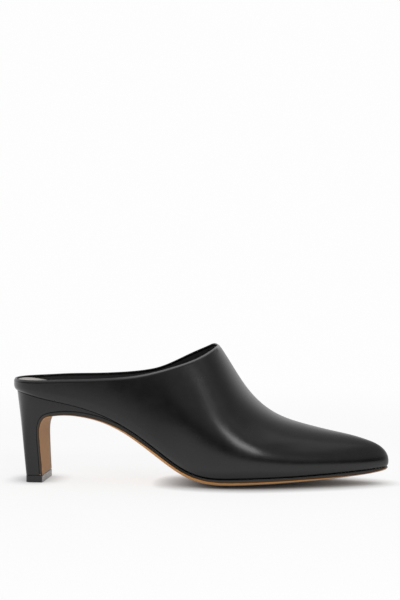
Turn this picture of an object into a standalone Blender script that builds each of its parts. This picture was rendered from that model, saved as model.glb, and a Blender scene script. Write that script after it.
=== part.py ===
"""Heeled mule for the right foot: a closed pointed vamp, a low rim round the heel seat,
a leather outsole that runs down the heel breast, and a slim covered block heel.

Frame: +X to the toe, +Y to the inner side of the foot, +Z up, floor at Z = 0,
origin under the middle of the shoe. Sizes are in metres.
"""
import bmesh
import bpy
import numpy as np

# Last and upper
LENGTH = 0.260            # over the upper, back of the heel to the tip of the toe
BALL_WIDTH = 0.078        # sole line to sole line at the ball
SEAT_WIDTH = 0.051        # sole line to sole line at the heel seat
HEEL_HEIGHT = 0.0628      # floor to the sole line at the back of the heel
TOE_SPRING = 0.0052       # rise of the sole line from the ball to the tip of the toe
THROAT_HEIGHT = 0.0950    # floor to the top of the vamp at the throat
TOE_HEIGHT = 0.0297       # floor to the end of the vamp ridge at the toe
BACK_RIM = 0.0085         # rise of the rim over the sole line at the back of the heel
BULGE = 0.0042            # how far the wall stands out over the sole line at the ball
TUCK_HEIGHT = 0.0100      # height over the sole line where the wall at the ball is widest
RIDGE_SETBACK = 0.0128    # from the tip of the sole line back to the end of the vamp ridge
INNER_RISE = 0.0030       # how much higher the topline runs on the inner side by the throat
OUTER_DROP = 0.0014       # and how much lower on the outer side
WALL = 0.0017             # upper leather with its lining
LASTING_MARGIN = 0.011    # upper turned in under the insole

# Bottom
SOLE_THICKNESS = 0.0039   # outsole at the ball and the waist
BEVEL = 0.0020            # natural edge cut under the inked edge, at the ball
SOLE_MARGIN = 0.0006      # outsole beyond the sole line in the forepart
CROWN = 0.0038            # rounding of the last bottom across the ball
TREAD_WEAR = 0.0010       # depth of the flat that the forepart stands on
FOOTBED = 0.0075          # top of the insole over the sole line at the heel
INSOLE_EDGE = 0.0012      # rounding of the insole's upper edge

# Heel
LIFT_SETBACK = 0.0102     # from the back of the upper to the back of the heel lift
LIFT_LENGTH = 0.0125
LIFT_WIDTH = 0.0360
LIFT_HEIGHT = 0.0048
LIFT_CORNER = 0.0032      # radius of the two corners at the back
LIFT_BOW = 0.0006         # how far the middle of its back stands out between them
FLAP = 0.0020             # outsole leather on the heel breast
WING_LENGTH = 0.0556      # from the heel breast to the front edge of the heel's wing
WING_RUNOUT = 0.008       # length over which the outsole comes up to the upper ahead of it

GAP = 0.0003              # clearance between pieces that meet
FILLER_GAP = 0.0006       # between the insole's filler and the edge of the margin

# One row for each section across the last, heel to toe. Station is a share of the length
# of the sole line; lateral and medial are shares of the local width, which goes from
# SEAT_WIDTH (seat 1) to BALL_WIDTH (seat 0); pitch is a share of the heel's rise, spring
# of TOE_SPRING, crown of CROWN, bulge of BULGE, tuck of TUCK_HEIGHT, insole of FOOTBED,
# sole of SOLE_THICKNESS and bevel of BEVEL.
SECTION_COLUMNS = (
    "station", "seat", "lateral", "medial", "pitch", "spring",
    "crown", "bulge", "tuck", "insole", "sole", "bevel",
)
SECTION_ROWS = (
    (0.00, 1.00, 0.000, 0.000, 1.000, 0.00, 0.00, 0.55, 0.42, 1.00, 0.53, 0.05),
    (0.03, 1.00, 0.353, 0.353, 0.982, 0.00, 0.00, 0.52, 0.42, 1.00, 0.53, 0.05),
    (0.09, 1.00, 0.488, 0.488, 0.921, 0.00, 0.00, 0.45, 0.50, 0.98, 0.60, 0.10),
    (0.20, 1.00, 0.514, 0.490, 0.808, 0.00, 0.10, 0.42, 0.60, 0.90, 0.84, 0.25),
    (0.31, 0.70, 0.464, 0.377, 0.587, 0.00, 0.35, 0.55, 0.75, 0.76, 0.95, 0.60),
    (0.40, 0.45, 0.462, 0.348, 0.305, 0.00, 0.60, 0.70, 0.90, 0.65, 1.00, 1.00),
    (0.47, 0.25, 0.481, 0.375, 0.094, 0.00, 0.80, 0.85, 1.00, 0.58, 1.00, 1.10),
    (0.53, 0.10, 0.502, 0.416, 0.010, 0.00, 0.95, 0.95, 1.00, 0.56, 1.00, 1.00),
    (0.60, 0.00, 0.505, 0.464, 0.000, 0.01, 1.00, 1.00, 1.00, 0.55, 0.98, 0.80),
    (0.69, 0.00, 0.467, 0.490, 0.000, 0.12, 1.00, 1.00, 0.92, 0.55, 0.88, 0.65),
    (0.79, 0.00, 0.372, 0.427, 0.000, 0.33, 0.80, 0.90, 0.76, 0.54, 0.80, 0.50),
    (0.88, 0.00, 0.250, 0.295, 0.000, 0.58, 0.50, 0.70, 0.58, 0.52, 0.76, 0.32),
    (0.95, 0.00, 0.119, 0.188, 0.000, 0.80, 0.22, 0.45, 0.42, 0.50, 0.68, 0.25),
    (1.00, 0.00, -0.051, 0.051, 0.000, 1.00, 0.00, 0.28, 0.36, 0.50, 0.50, 0.60),
)
BALL_ROW = 8              # the row that the forepart stands on

# The ridge is the line down the middle of the foot where both walls of a section meet.
# Instep is a share of THROAT_HEIGHT, toe of TOE_HEIGHT, and inward, towards the big toe,
# of BALL_WIDTH. Behind the throat it only guides the open walls.
RIDGE_COLUMNS = ("station", "instep", "toe", "inward")
RIDGE_ROWS = (
    (0.070, 1.580, 0.00, 0.000),
    (0.225, 1.530, 0.00, 0.010),
    (0.360, 1.430, 0.00, 0.035),
    (0.450, 1.290, 0.00, 0.055),
    (0.505, 1.148, 0.00, 0.062),
    (0.544, 1.010, 0.00, 0.065),
    (0.575, 0.849, 0.10, 0.066),
    (0.614, 0.636, 0.25, 0.067),
    (0.653, 0.466, 0.40, 0.067),
    (0.700, 0.328, 0.55, 0.066),
    (0.770, 0.212, 0.70, 0.062),
    (0.856, 0.112, 0.85, 0.056),
    (0.927, 0.034, 0.96, 0.050),
    (0.952, 0.000, 1.00, 0.048),
)

# Topline down the middle, seen from the side. Rise is the share of the way from the rim at
# the back of the heel up to the throat.
COLLAR_COLUMNS = ("station", "rise")
COLLAR_ROWS = (
    (-0.02, 0.000),
    (0.055, 0.000),
    (0.130, 0.034),
    (0.205, 0.058),
    (0.270, 0.098),
    (0.325, 0.158),
    (0.372, 0.252),
    (0.419, 0.408),
    (0.466, 0.597),
    (0.505, 0.768),
    (0.544, 0.975),
    (0.600, 1.270),
)

# Between these stations the topline comes to run higher on the inner side and lower on
# the outer. Each change takes a share of BALL_WIDTH across from the ridge.
SKEW_STATIONS = (0.36, 0.50)
INNER_REACH = 0.16
OUTER_REACH = 0.42

# Front of the heel from above its lift: up the breast, round the arch and along the
# underside of the wing. Along is a share of WING_LENGTH from the foot of the breast,
# height a share of HEEL_HEIGHT, and sole the share of the way from FLAP to the thickness
# of the outsole ahead of the wing.
BREAST_COLUMNS = ("along", "height", "sole")
BREAST_ROWS = (
    (-0.014, 0.287, 0.00),
    (-0.026, 0.478, 0.00),
    (-0.018, 0.630, 0.05),
    (0.047, 0.742, 0.20),
    (0.190, 0.791, 0.40),
    (0.388, 0.806, 0.58),
    (0.604, 0.788, 0.72),
    (0.820, 0.742, 0.84),
)
WING_TIP_SOLE = 0.93      # that share at the front edge of the wing
ARCH_INDEX = 2            # the knot of that line where the stem ends and the wing begins

# How full the wall is: shares of its height and of its half width over which its curve
# heads straight up from the widest point and straight across the ridge
WALL_RISE = 0.50
WALL_CREST = 0.56

# The tuck from the sole line to the widest point: its two control points as shares of
# the bulge and of the tuck height
TUCK_ASIDE = (0.60, 1.00)
TUCK_ABOVE = (0.15, 0.50)

MARGIN_LIMIT = 0.45       # the margin stops this share of the way out from the middle

# Middle line of the bottom pieces, set in from both ends of the sole line
SPINE_BACK = 0.020
SPINE_FRONT = 0.009
SPINE_POWER = 10

# Mesh steps
ROWS_BACK = 20
ROWS_FRONT = 23
FOOT_CROWD = 1.1          # crowds the feet of the rows behind the throat towards it
TOP_CROWD = 2.0           # and their tops, along the topline
SOLE_ROW_STEP = 0.02      # least turn between the outsole's last row under the heel and the next
MARGIN_STEPS = 3
TUCK_STEPS = 4
WALL_STEPS = 10
BREAST_STEPS = 22
ACROSS = 4
STEM_COLUMNS = 12
STEM_ROWS = 6
WING_ROWS = 5
WING_COLUMNS = 16
WING_FAN = 1.2            # crowds the wing's columns towards the breast along the seat
CORNER_STEPS = 5
BACK_STEPS = 3
BACK_SHARE = 0.45         # of a half outline of the heel's foot: its back
CORNER_SHARE = 0.30       # and its corner

SHARP_ANGLE = 40          # degrees between faces that meet in a shaded edge
WELD = 1e-6
NUDGE = 1e-4              # step for slopes
SAMPLES = 400


def table(columns, rows):
    """Columns of a table by name"""
    return dict(zip(columns, np.array(rows, dtype=float).T))


SECTION = table(SECTION_COLUMNS, SECTION_ROWS)
RIDGE = table(RIDGE_COLUMNS, RIDGE_ROWS)
COLLAR = table(COLLAR_COLUMNS, COLLAR_ROWS)
BREAST = table(BREAST_COLUMNS, BREAST_ROWS)

BACK_X = -LENGTH / 2 + BULGE * SECTION["bulge"][0]
TIP_X = LENGTH / 2 - BULGE * SECTION["bulge"][-1]
SOLE_LINE = TIP_X - BACK_X
BALL_EDGE = CROWN + SOLE_THICKNESS * SECTION["sole"][BALL_ROW] + GAP - TREAD_WEAR
RIM = HEEL_HEIGHT + BACK_RIM
LIFT_BACK_X = -LENGTH / 2 + LIFT_SETBACK
LIFT_FRONT_X = LIFT_BACK_X + LIFT_LENGTH
LIFT_TOP = LIFT_HEIGHT + GAP
BREAST_X = LIFT_FRONT_X - FLAP - GAP
WING_X = BREAST_X + WING_LENGTH
JOIN_X = WING_X + WING_RUNOUT


def curve_through(knots, values, period=None):
    """Cubic curve through the rows with even slope and bend, closed if it has a period"""
    knots = np.asarray(knots, dtype=float)
    values = np.asarray(values, dtype=float)
    if period is not None:
        knots = np.append(knots, knots[0] + period)
        values = np.append(values, values[0])
    steps = np.diff(knots)
    slopes = np.diff(values) / steps
    count = len(knots)
    system = np.zeros((count, count))
    right = np.zeros(count)
    for i in range(1, count - 1):
        system[i, i - 1:i + 2] = steps[i - 1], 2 * (steps[i - 1] + steps[i]), steps[i]
        right[i] = 6 * (slopes[i] - slopes[i - 1])
    system[0, 0] = 1
    if period is None:
        system[-1, -1] = 1
    else:
        system[0, -1] = -1
        system[-1, 0] = 2 * (steps[0] + steps[-1])
        system[-1, 1] = steps[0]
        system[-1, -2] = steps[-1]
        right[-1] = 6 * (slopes[0] - slopes[-1])
    bends = np.linalg.solve(system, right)

    def evaluate(at):
        at = np.asarray(at, dtype=float)
        if period is not None:
            at = knots[0] + np.mod(at - knots[0], period)
        i = np.clip(np.searchsorted(knots, at) - 1, 0, count - 2)
        low = knots[i + 1] - at
        high = at - knots[i]
        return (
            (bends[i] * low ** 3 + bends[i + 1] * high ** 3) / (6 * steps[i])
            + (values[i] / steps[i] - bends[i] * steps[i] / 6) * low
            + (values[i + 1] / steps[i] - bends[i + 1] * steps[i] / 6) * high
        )

    return evaluate


def blend(low, high, share):
    return low + (high - low) * share


def smooth(share):
    """Ease from 0 to 1 with level ends"""
    share = np.clip(share, 0, 1)
    return share * share * (3 - 2 * share)


def bezier(points, share):
    """Cubic curve on four control points"""
    return (
        points[0] * (1 - share) ** 3
        + points[1] * 3 * share * (1 - share) ** 2
        + points[2] * 3 * share ** 2 * (1 - share)
        + points[3] * share ** 3
    )


def vector(x, y, z):
    return np.stack(np.broadcast_arrays(x, y, z), axis=-1).astype(float)


# Where the last's sole line runs. A turn is an angle round it: 0 at the heel, pi at the
# toe over the lateral side, and back over the medial side to a full turn.

def turn_of(station):
    return np.arccos(1 - 2 * np.clip(station, 0, 1))


def station_of(turn):
    return (1 - np.cos(turn)) / 2


def station_at(x):
    return (x - BACK_X) / SOLE_LINE


def round_the_last(lateral, medial):
    """Closed curve of a value round the sole line"""
    turns = turn_of(SECTION["station"])
    knots = np.concatenate([turns, 2 * np.pi - turns[-2:0:-1]])
    return curve_through(knots, np.concatenate([lateral, medial[-2:0:-1]]), 2 * np.pi)


LOCAL_WIDTH = blend(BALL_WIDTH, SEAT_WIDTH, SECTION["seat"])
SEAT_LINE = blend(BALL_EDGE, HEEL_HEIGHT, SECTION["pitch"]) + TOE_SPRING * SECTION["spring"]
side_y = round_the_last(-SECTION["lateral"] * LOCAL_WIDTH, SECTION["medial"] * LOCAL_WIDTH)
seat_line = round_the_last(SEAT_LINE, SEAT_LINE)
share_of = {name: round_the_last(SECTION[name], SECTION[name]) for name in SECTION_COLUMNS[4:]}
ridge_z = curve_through(
    RIDGE["station"], THROAT_HEIGHT * RIDGE["instep"] + TOE_HEIGHT * RIDGE["toe"]
)
ridge_y = curve_through(RIDGE["station"], BALL_WIDTH * RIDGE["inward"])
collar_z = curve_through(COLLAR["station"], blend(RIM, THROAT_HEIGHT, COLLAR["rise"]))


def seat_z(x):
    """Height of the sole line over a place along the shoe"""
    return seat_line(turn_of(station_at(x)))


def upright(x, height):
    """Upright distance that stands a height square on the slope of the sole line"""
    slope = (seat_z(x + NUDGE) - seat_z(x - NUDGE)) / (2 * NUDGE)
    return height * np.sqrt(1 + slope ** 2)


def crown_at(x):
    return CROWN * np.maximum(share_of["crown"](turn_of(station_at(x))), 0)


def sole_line(turn):
    """Point of the sole line and its outward direction"""
    x = BACK_X + SOLE_LINE * station_of(turn)
    along_x = SOLE_LINE * np.sin(turn) / 2
    along_y = (side_y(turn + NUDGE) - side_y(turn - NUDGE)) / (2 * NUDGE)
    size = np.hypot(along_x, along_y)
    return vector(x, side_y(turn), seat_z(x)), vector(along_y / size, -along_x / size, 0)


def bottom(turn, share, height, inset=0):
    """Point of the last's bottom, at a height over it, from the middle (share 0) to the
    sole line (share 1). The bottom is rounded across by the crown."""
    edge, outward = sole_line(turn)
    edge = edge - outward * np.asarray(inset)[..., None]
    station = station_of(turn)
    spine_x = (
        BACK_X + SOLE_LINE * station
        + SPINE_BACK * (1 - station) ** SPINE_POWER
        - SPINE_FRONT * station ** SPINE_POWER
    )
    spine_y = (side_y(turn) + side_y(-turn)) / 2
    x = blend(spine_x, edge[..., 0], share)
    y = blend(spine_y, edge[..., 1], share)
    z = seat_z(x) - crown_at(x) * (1 - np.minimum(share, 1) ** 2) + upright(x, height)
    return vector(x, y, z)


def ridge_at(turn):
    """Point of the ridge that a section's walls end on"""
    first = RIDGE["station"][0]
    last = station_at(TIP_X - RIDGE_SETBACK)
    return blend(first, last, station_of(turn))


def ridge_point(station):
    return vector(BACK_X + SOLE_LINE * station, ridge_y(station), ridge_z(station))


def tuck(turn, climb):
    """How far the wall stands outside and above the sole line below its widest point"""
    stand = BULGE * share_of["bulge"](turn)
    tall = TUCK_HEIGHT * share_of["tuck"](turn)
    aside = bezier((0, *TUCK_ASIDE, 1), climb)
    above = bezier((0, *TUCK_ABOVE, 1), climb)
    return stand * aside, tall * above


def skin(turn, climb):
    """Outer face of the upper. Climb is 0 on the sole line, 1 where the wall is widest
    and 2 on the ridge. The wall leaves the widest point upright and meets the ridge in
    the plane that both sides share there."""
    turn, climb = np.broadcast_arrays(turn, climb)
    foot, outward = sole_line(turn)
    aside, above = tuck(turn, np.clip(climb, 0, 1))
    up = vector(0, 0, 1)
    widest = foot + outward * aside[..., None] + up * above[..., None]
    station = ridge_at(turn)
    top = ridge_point(station)
    along = ridge_point(station + NUDGE) - ridge_point(station - NUDGE)
    along = along / along[..., :1]
    ahead = widest[..., :1] - top[..., :1]
    across = widest[..., 1:2] - top[..., 1:2] - ahead * along[..., 1:2]
    rise = widest + up * WALL_RISE * (top[..., 2:] - widest[..., 2:])
    crest = top + WALL_CREST * (along * ahead + vector(0, 1, 0) * across)
    wall = bezier((widest, rise, crest, top), np.clip(climb - 1, 0, 1)[..., None])
    return np.where((climb <= 1)[..., None], widest, wall)


def over_topline(points):
    """Height of points over the topline"""
    station = station_at(points[..., 0])
    inward = (points[..., 1] - ridge_y(station)) / BALL_WIDTH
    inner = INNER_RISE * smooth(inward / INNER_REACH)
    outer = OUTER_DROP * smooth(-inward / OUTER_REACH)
    start, full = SKEW_STATIONS
    skew = (inner - outer) * smooth((station - start) / (full - start))
    return points[..., 2] - collar_z(station) - skew


def throat_turn():
    """Turn of the section whose walls meet just where the topline crosses the ridge"""
    turns = np.linspace(0, np.pi, SAMPLES)
    over = over_topline(ridge_point(ridge_at(turns)))
    i = np.nonzero(over > 0)[0][-1]
    return blend(turns[i], turns[i + 1], over[i] / (over[i] - over[i + 1]))


def top_climb(turn):
    """Climb at which the wall of a section reaches the topline, or 2 on the ridge"""
    climbs = np.linspace(1, 2, SAMPLES)
    over = over_topline(skin(turn, climbs))
    above = np.nonzero(over >= 0)[0]
    if len(above) == 0:
        return 2.0
    i = above[0]
    return blend(climbs[i - 1], climbs[i], -over[i - 1] / (over[i] - over[i - 1]))


def row_turns(crowd):
    """Turns of the rows from the heel to the toe, crowded towards the throat behind it"""
    behind = THROAT * (1 - np.linspace(1, 0, ROWS_BACK + 1) ** crowd)
    ahead = blend(THROAT, np.pi, np.linspace(0, 1, ROWS_FRONT + 1)[1:])
    return np.concatenate([behind, ahead])


def both_sides(lateral):
    """Turns on the lateral side, then back to the heel on the medial side"""
    return np.concatenate([lateral, 2 * np.pi - lateral[-2:0:-1]])


THROAT = throat_turn()
LATERAL_TURNS = row_turns(FOOT_CROWD)
LOOP_TURNS = both_sides(LATERAL_TURNS)
LOOP_TOPS = both_sides(row_turns(TOP_CROWD))


class Shape:
    """Patches of faces on grids of points, welded where they meet"""

    def __init__(self):
        self.points = []
        self.faces = []

    def patch(self, grid, flip=False):
        """Faces between neighbouring points of a grid of rows and columns"""
        rows, columns = grid.shape[:2]
        start = len(self.points)
        self.points.extend(map(tuple, grid.reshape(-1, 3)))
        for i in range(rows - 1):
            for j in range(columns - 1):
                corner = start + i * columns + j
                face = (corner, corner + 1, corner + columns + 1, corner + columns)
                self.faces.append(face[::-1] if flip else face)

    def finish(self, name, material, closed=True):
        mesh = bpy.data.meshes.new(name)
        mesh.from_pydata(self.points, [], self.faces)
        work = bmesh.new()
        work.from_mesh(mesh)
        bmesh.ops.remove_doubles(work, verts=work.verts, dist=WELD)
        if closed:
            bmesh.ops.recalc_face_normals(work, faces=work.faces)
        work.to_mesh(mesh)
        work.free()
        return place(name, mesh, material)


def place(name, mesh, material):
    mesh.materials.append(material)
    mesh.shade_smooth()
    mesh.set_sharp_from_angle(angle=np.radians(SHARP_ANGLE))
    shape = bpy.data.objects.new(name, mesh)
    bpy.data.collections["heeled_mule"].objects.link(shape)
    return shape


def finish_of(name, colour, roughness):
    """Material with one colour and roughness; nothing on the shoe is metal"""
    material = bpy.data.materials.new(name)
    material.use_nodes = True
    shader = material.node_tree.nodes["Principled BSDF"]
    shader.inputs["Base Color"].default_value = (*colour, 1)
    shader.inputs["Roughness"].default_value = roughness
    shader.inputs["Metallic"].default_value = 0
    return material


def closed_loop(rows):
    """Repeat the first row at the end"""
    return np.concatenate([rows, rows[:1]])


def build_upper(material):
    """Skin from the lasting margin to the topline, thickened inwards. Ahead of the throat
    both sides end on the ridge, where they are welded. A row behind it leans forward up
    the wall, from its foot's turn to its top's."""
    rows = []
    for turn, top_turn in zip(LOOP_TURNS, LOOP_TOPS):
        margin = np.linspace(margin_share(turn, 0), 1, MARGIN_STEPS + 1)[:-1]
        behind = np.cos(top_turn) > np.cos(THROAT) + WELD
        top = top_climb(top_turn) if behind else 2.0
        low = np.linspace(0, 1, TUCK_STEPS + 1)
        share = np.linspace(0, 1, WALL_STEPS + 1)[1:]
        wall = skin(blend(turn, top_turn, smooth(share)), blend(1, top, share))
        rows.append(np.concatenate([bottom(turn, margin, 0), skin(turn, low), wall]))
    shape = Shape()
    shape.patch(closed_loop(np.array(rows)), flip=True)
    upper = shape.finish("upper", material, closed=False)
    shell = upper.modifiers.new("wall", "SOLIDIFY")
    shell.thickness = WALL
    shell.offset = -1
    shell.use_even_offset = True
    shell.use_quality_normals = True
    return upper


def margin_share(turn, gap):
    """Share from the middle to the sole line where the lasting margin ends, with a gap"""
    edge, _ = sole_line(turn)
    middle = bottom(turn, 0, 0)
    reach = np.linalg.norm((edge - middle)[..., :2], axis=-1)
    return np.maximum(1 - LASTING_MARGIN / reach, MARGIN_LIMIT) - gap / reach


def inner_wall(turn, height):
    """How far the inside of the wall lies within the sole line at a height over it"""
    climbs = np.linspace(0, 1, SAMPLES)
    aside, above = tuck(turn, climbs)
    run = np.gradient(aside)
    rise = np.gradient(above)
    size = np.hypot(run, rise)
    inner_aside = aside - WALL * rise / size
    inner_above = above + WALL * run / size
    return -np.interp(height, inner_above, inner_aside)


def build_insole(material):
    """Footbed that fills the upper wall to wall, with its filler between the margins"""
    seat = WALL + GAP
    rows = []
    for turn in LOOP_TURNS:
        top = FOOTBED * share_of["insole"](turn)
        edge_heights = (seat, blend(seat, top - INSOLE_EDGE, 0.5), top - INSOLE_EDGE)
        insets = [inner_wall(turn, height) + GAP for height in edge_heights]
        step = margin_share(turn, FILLER_GAP)
        row = [bottom(turn, 0, 0), bottom(turn, step, 0)]
        ledge = np.linspace(step, 1, MARGIN_STEPS + 1)[:-1]
        row += [bottom(turn, share, seat, insets[0] * share) for share in ledge]
        row += [bottom(turn, 1, h, inset) for h, inset in zip(edge_heights, insets)]
        brow = insets[-1] + INSOLE_EDGE
        row += [bottom(turn, share, top, brow) for share in np.linspace(1, 0, ACROSS + 1)]
        rows.append(row)
    shape = Shape()
    shape.patch(closed_loop(np.array(rows)))
    return shape.finish("insole", material)


# Side view of the breast line. It starts at the foot of the breast and runs on ahead of
# the wing along the sole line.
ARCH_X = np.concatenate([
    [BREAST_X],
    BREAST_X + WING_LENGTH * BREAST["along"],
    [WING_X],
    JOIN_X + WING_RUNOUT * np.arange(3),
])
ARCH_Z = np.concatenate([
    [LIFT_TOP],
    HEEL_HEIGHT * BREAST["height"],
    [seat_z(WING_X) - upright(WING_X, GAP)],
    seat_z(ARCH_X[-3:]),
])
ARCH_KNOTS = np.concatenate([[0], np.cumsum(np.hypot(np.diff(ARCH_X), np.diff(ARCH_Z)))])
arch_x = curve_through(ARCH_KNOTS, ARCH_X)
arch_z = curve_through(ARCH_KNOTS, ARCH_Z)
STEM_END = ARCH_KNOTS[ARCH_INDEX]
WING_END = ARCH_KNOTS[len(BREAST_ROWS) + 1]
JOIN_END = ARCH_KNOTS[len(BREAST_ROWS) + 2]


def arch_down(distance):
    """Direction square to the breast line, out of the heel"""
    x = arch_x(distance + NUDGE) - arch_x(distance - NUDGE)
    z = arch_z(distance + NUDGE) - arch_z(distance - NUDGE)
    size = np.hypot(x, z)
    return vector(z / size, 0, -x / size)


def seat_top(x):
    return seat_z(x) - upright(x, GAP)


def heel_side(x, z, side):
    """Half width of the heel at a point of its side view: the seat's above, narrowing
    to the lift's. Side is -1 on the lateral side and 1 on the medial side."""
    seat = side_y(side * -turn_of(station_at(x)))
    depth = (seat_top(x) - z) / (seat_top(x) - LIFT_TOP)
    return blend(seat, side * LIFT_WIDTH / 2, smooth(depth))


def build_outsole(material):
    """Sole leather with a vertical inked edge and a bevel under it, along the bottom of
    the last, under the wing and down the breast"""
    shares = np.linspace(0, 1, ACROSS + 1)
    sides = []
    join_turn = turn_of(station_at(JOIN_X))
    front = LATERAL_TURNS[LATERAL_TURNS > join_turn + SOLE_ROW_STEP]
    for side in (-1, 1):
        rows = []
        for distance in np.linspace(0, JOIN_END, BREAST_STEPS + 1):
            x = arch_x(distance)
            z = arch_z(distance)
            down = arch_down(distance)
            y = heel_side(x, z, side)
            middle = (heel_side(x, z, -1) + heel_side(x, z, 1)) / 2
            outward = vector(0, side, 0)
            top = vector(x, blend(middle, y, shares), z - crown_at(x) * (1 - shares ** 2))
            thick = breast_thickness(distance)
            bevel = BEVEL * share_of["bevel"](turn_of(station_at(x)))
            rows.append(sole_row(top + down * GAP, down, outward, thick, bevel))
        for turn in front:
            loop = side * -turn
            edge, outward = sole_line(loop)
            slope = upright(edge[0], 1)
            fall = np.sqrt(slope ** 2 - 1) * np.sign(seat_z(edge[0] - NUDGE) - seat_z(edge[0]))
            down = vector(-fall / slope, 0, -1 / slope)
            spread = SOLE_MARGIN * (1 - share_of["pitch"](turn))
            top = np.array([bottom(loop, share, -GAP, -spread) for share in shares])
            thick = SOLE_THICKNESS * share_of["sole"](turn)
            bevel = BEVEL * share_of["bevel"](turn)
            rows.append(sole_row(top, down, outward, thick, bevel))
        sides.append(np.array(rows))
    lateral, medial = sides
    shape = Shape()
    shape.patch(np.concatenate([lateral, medial[-2::-1]]))
    shape.patch(np.stack([lateral[0], medial[0]]))
    return shape.finish("outsole", material)


def breast_thickness(distance):
    ahead = SOLE_THICKNESS * share_of["sole"](turn_of(station_at(JOIN_X)))
    shares = np.concatenate([[0], BREAST["sole"], [WING_TIP_SOLE, 1]])
    return blend(FLAP, ahead, curve_through(ARCH_KNOTS[:len(shares)], shares)(distance))


def sole_row(top, down, outward, thick, bevel):
    """Half section of the outsole: top from the middle to the edge, down the edge, in
    over the bevel, and back to the middle along the tread, which is flat on the floor"""
    edge = top[-1]
    inked = edge + down * (thick - bevel)
    rim = edge + down * thick - outward * bevel
    middle = top[0] + down * thick
    reach = (rim - middle)[:2]
    tread = top[::-1] + down * thick
    shares = np.linspace(1, 0, len(top))[:, None]
    tread[:, :2] = middle[:2] + reach * shares
    tread = np.concatenate([[rim], tread[1:]])
    tread[:, 2] = np.maximum(tread[:, 2], 0)
    return np.concatenate([top, [inked], tread])


def lift_outline(share, front_x):
    """Half outline of the heel's foot and of its lift, from the middle of the back, across
    the bowed back and round the corner, to the front"""
    flat = np.clip(share / BACK_SHARE, 0, 1)
    corner = np.clip((share - BACK_SHARE) / CORNER_SHARE, 0, 1)
    straight = np.clip((share - BACK_SHARE - CORNER_SHARE) / (1 - BACK_SHARE - CORNER_SHARE), 0, 1)
    angle = corner * np.pi / 2
    x = LIFT_BACK_X + LIFT_BOW * flat ** 2 + LIFT_CORNER * (1 - np.cos(angle))
    x = blend(x, front_x, straight)
    y = (LIFT_WIDTH / 2 - LIFT_CORNER) * flat + LIFT_CORNER * np.sin(angle)
    return x, y


def stem_grid(side):
    """Side of the heel behind the breast, from the middle of its back to the breast"""
    front_turn = turn_of(station_at(arch_x(STEM_END)))
    share = np.linspace(0, 1, STEM_COLUMNS + 1)
    turns = front_turn * share
    seat_x = BACK_X + SOLE_LINE * station_of(turns)
    seat_y = side_y(side * -turns)
    top_z = seat_top(seat_x)
    lift_x, lift_y = lift_outline(share, BREAST_X)
    seat_share = (seat_x - BACK_X) / (seat_x[-1] - BACK_X)
    lift_share = (lift_x - LIFT_BACK_X) / (BREAST_X - LIFT_BACK_X)

    rows = []
    stem_z = arch_z(STEM_END)
    for j in range(WING_ROWS + STEM_ROWS + 1):
        if j <= WING_ROWS:
            z = blend(top_z, stem_z, j / WING_ROWS)
            front_x = seat_x[-1]
        else:
            distance = blend(STEM_END, 0, (j - WING_ROWS) / STEM_ROWS)
            z = np.full_like(top_z, arch_z(distance))
            front_x = arch_x(distance)
        depth = (top_z - z) / (top_z - LIFT_TOP)
        back_x = blend(BACK_X, LIFT_BACK_X, depth)
        along = blend(seat_share, lift_share, depth)
        x = blend(back_x, front_x, along)
        eased = smooth(depth)
        y = blend(seat_y, side_y(side * -turn_of(station_at(x))), along)
        y = blend(y, side * lift_y, eased)
        y[-1] = heel_side(x[-1], z[-1], side)
        rows.append(vector(x, y, z))
    return np.array(rows)


def wing_grid(side):
    """Side of the heel's wing, from the breast to its front edge"""
    columns = []
    for share in np.linspace(0, 1, WING_COLUMNS + 1):
        low = blend(STEM_END, WING_END, share)
        top_x = blend(arch_x(STEM_END), WING_X, share ** WING_FAN)
        down = np.linspace(0, 1, WING_ROWS + 1)
        x = blend(top_x, arch_x(low), down)
        z = blend(seat_top(top_x), arch_z(low), down)
        columns.append(vector(x, heel_side(x, z, side), z))
    return np.array(columns).transpose(1, 0, 2)


def bridge(lateral, medial):
    """Grid across the shoe between a line on each side, dropped by the crown"""
    shares = np.linspace(0, 1, 2 * ACROSS + 1)[:, None, None]
    grid = blend(lateral[None], medial[None], shares)
    middle = 1 - (2 * shares[..., 0] - 1) ** 2
    grid[..., 2] -= crown_at(grid[..., 0]) * middle
    return grid


def build_heel(material):
    """Covered block: stem and wing on both sides, the seat on top, the breast and the
    underside of the wing in front, and the flat foot"""
    shape = Shape()
    seats = []
    fronts = []
    feet = []
    for side in (-1, 1):
        stem = stem_grid(side)
        wing = wing_grid(side)
        shape.patch(stem)
        shape.patch(wing)
        seats.append(np.concatenate([stem[0], wing[0, 1:]]))
        fronts.append(np.concatenate([wing[-1, ::-1], stem[WING_ROWS + 1:, -1]]))
        feet.append(stem[-1])
    shape.patch(bridge(*seats))
    shape.patch(bridge(*fronts))
    shape.patch(bridge(*feet))
    return shape.finish("heel", material)


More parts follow.
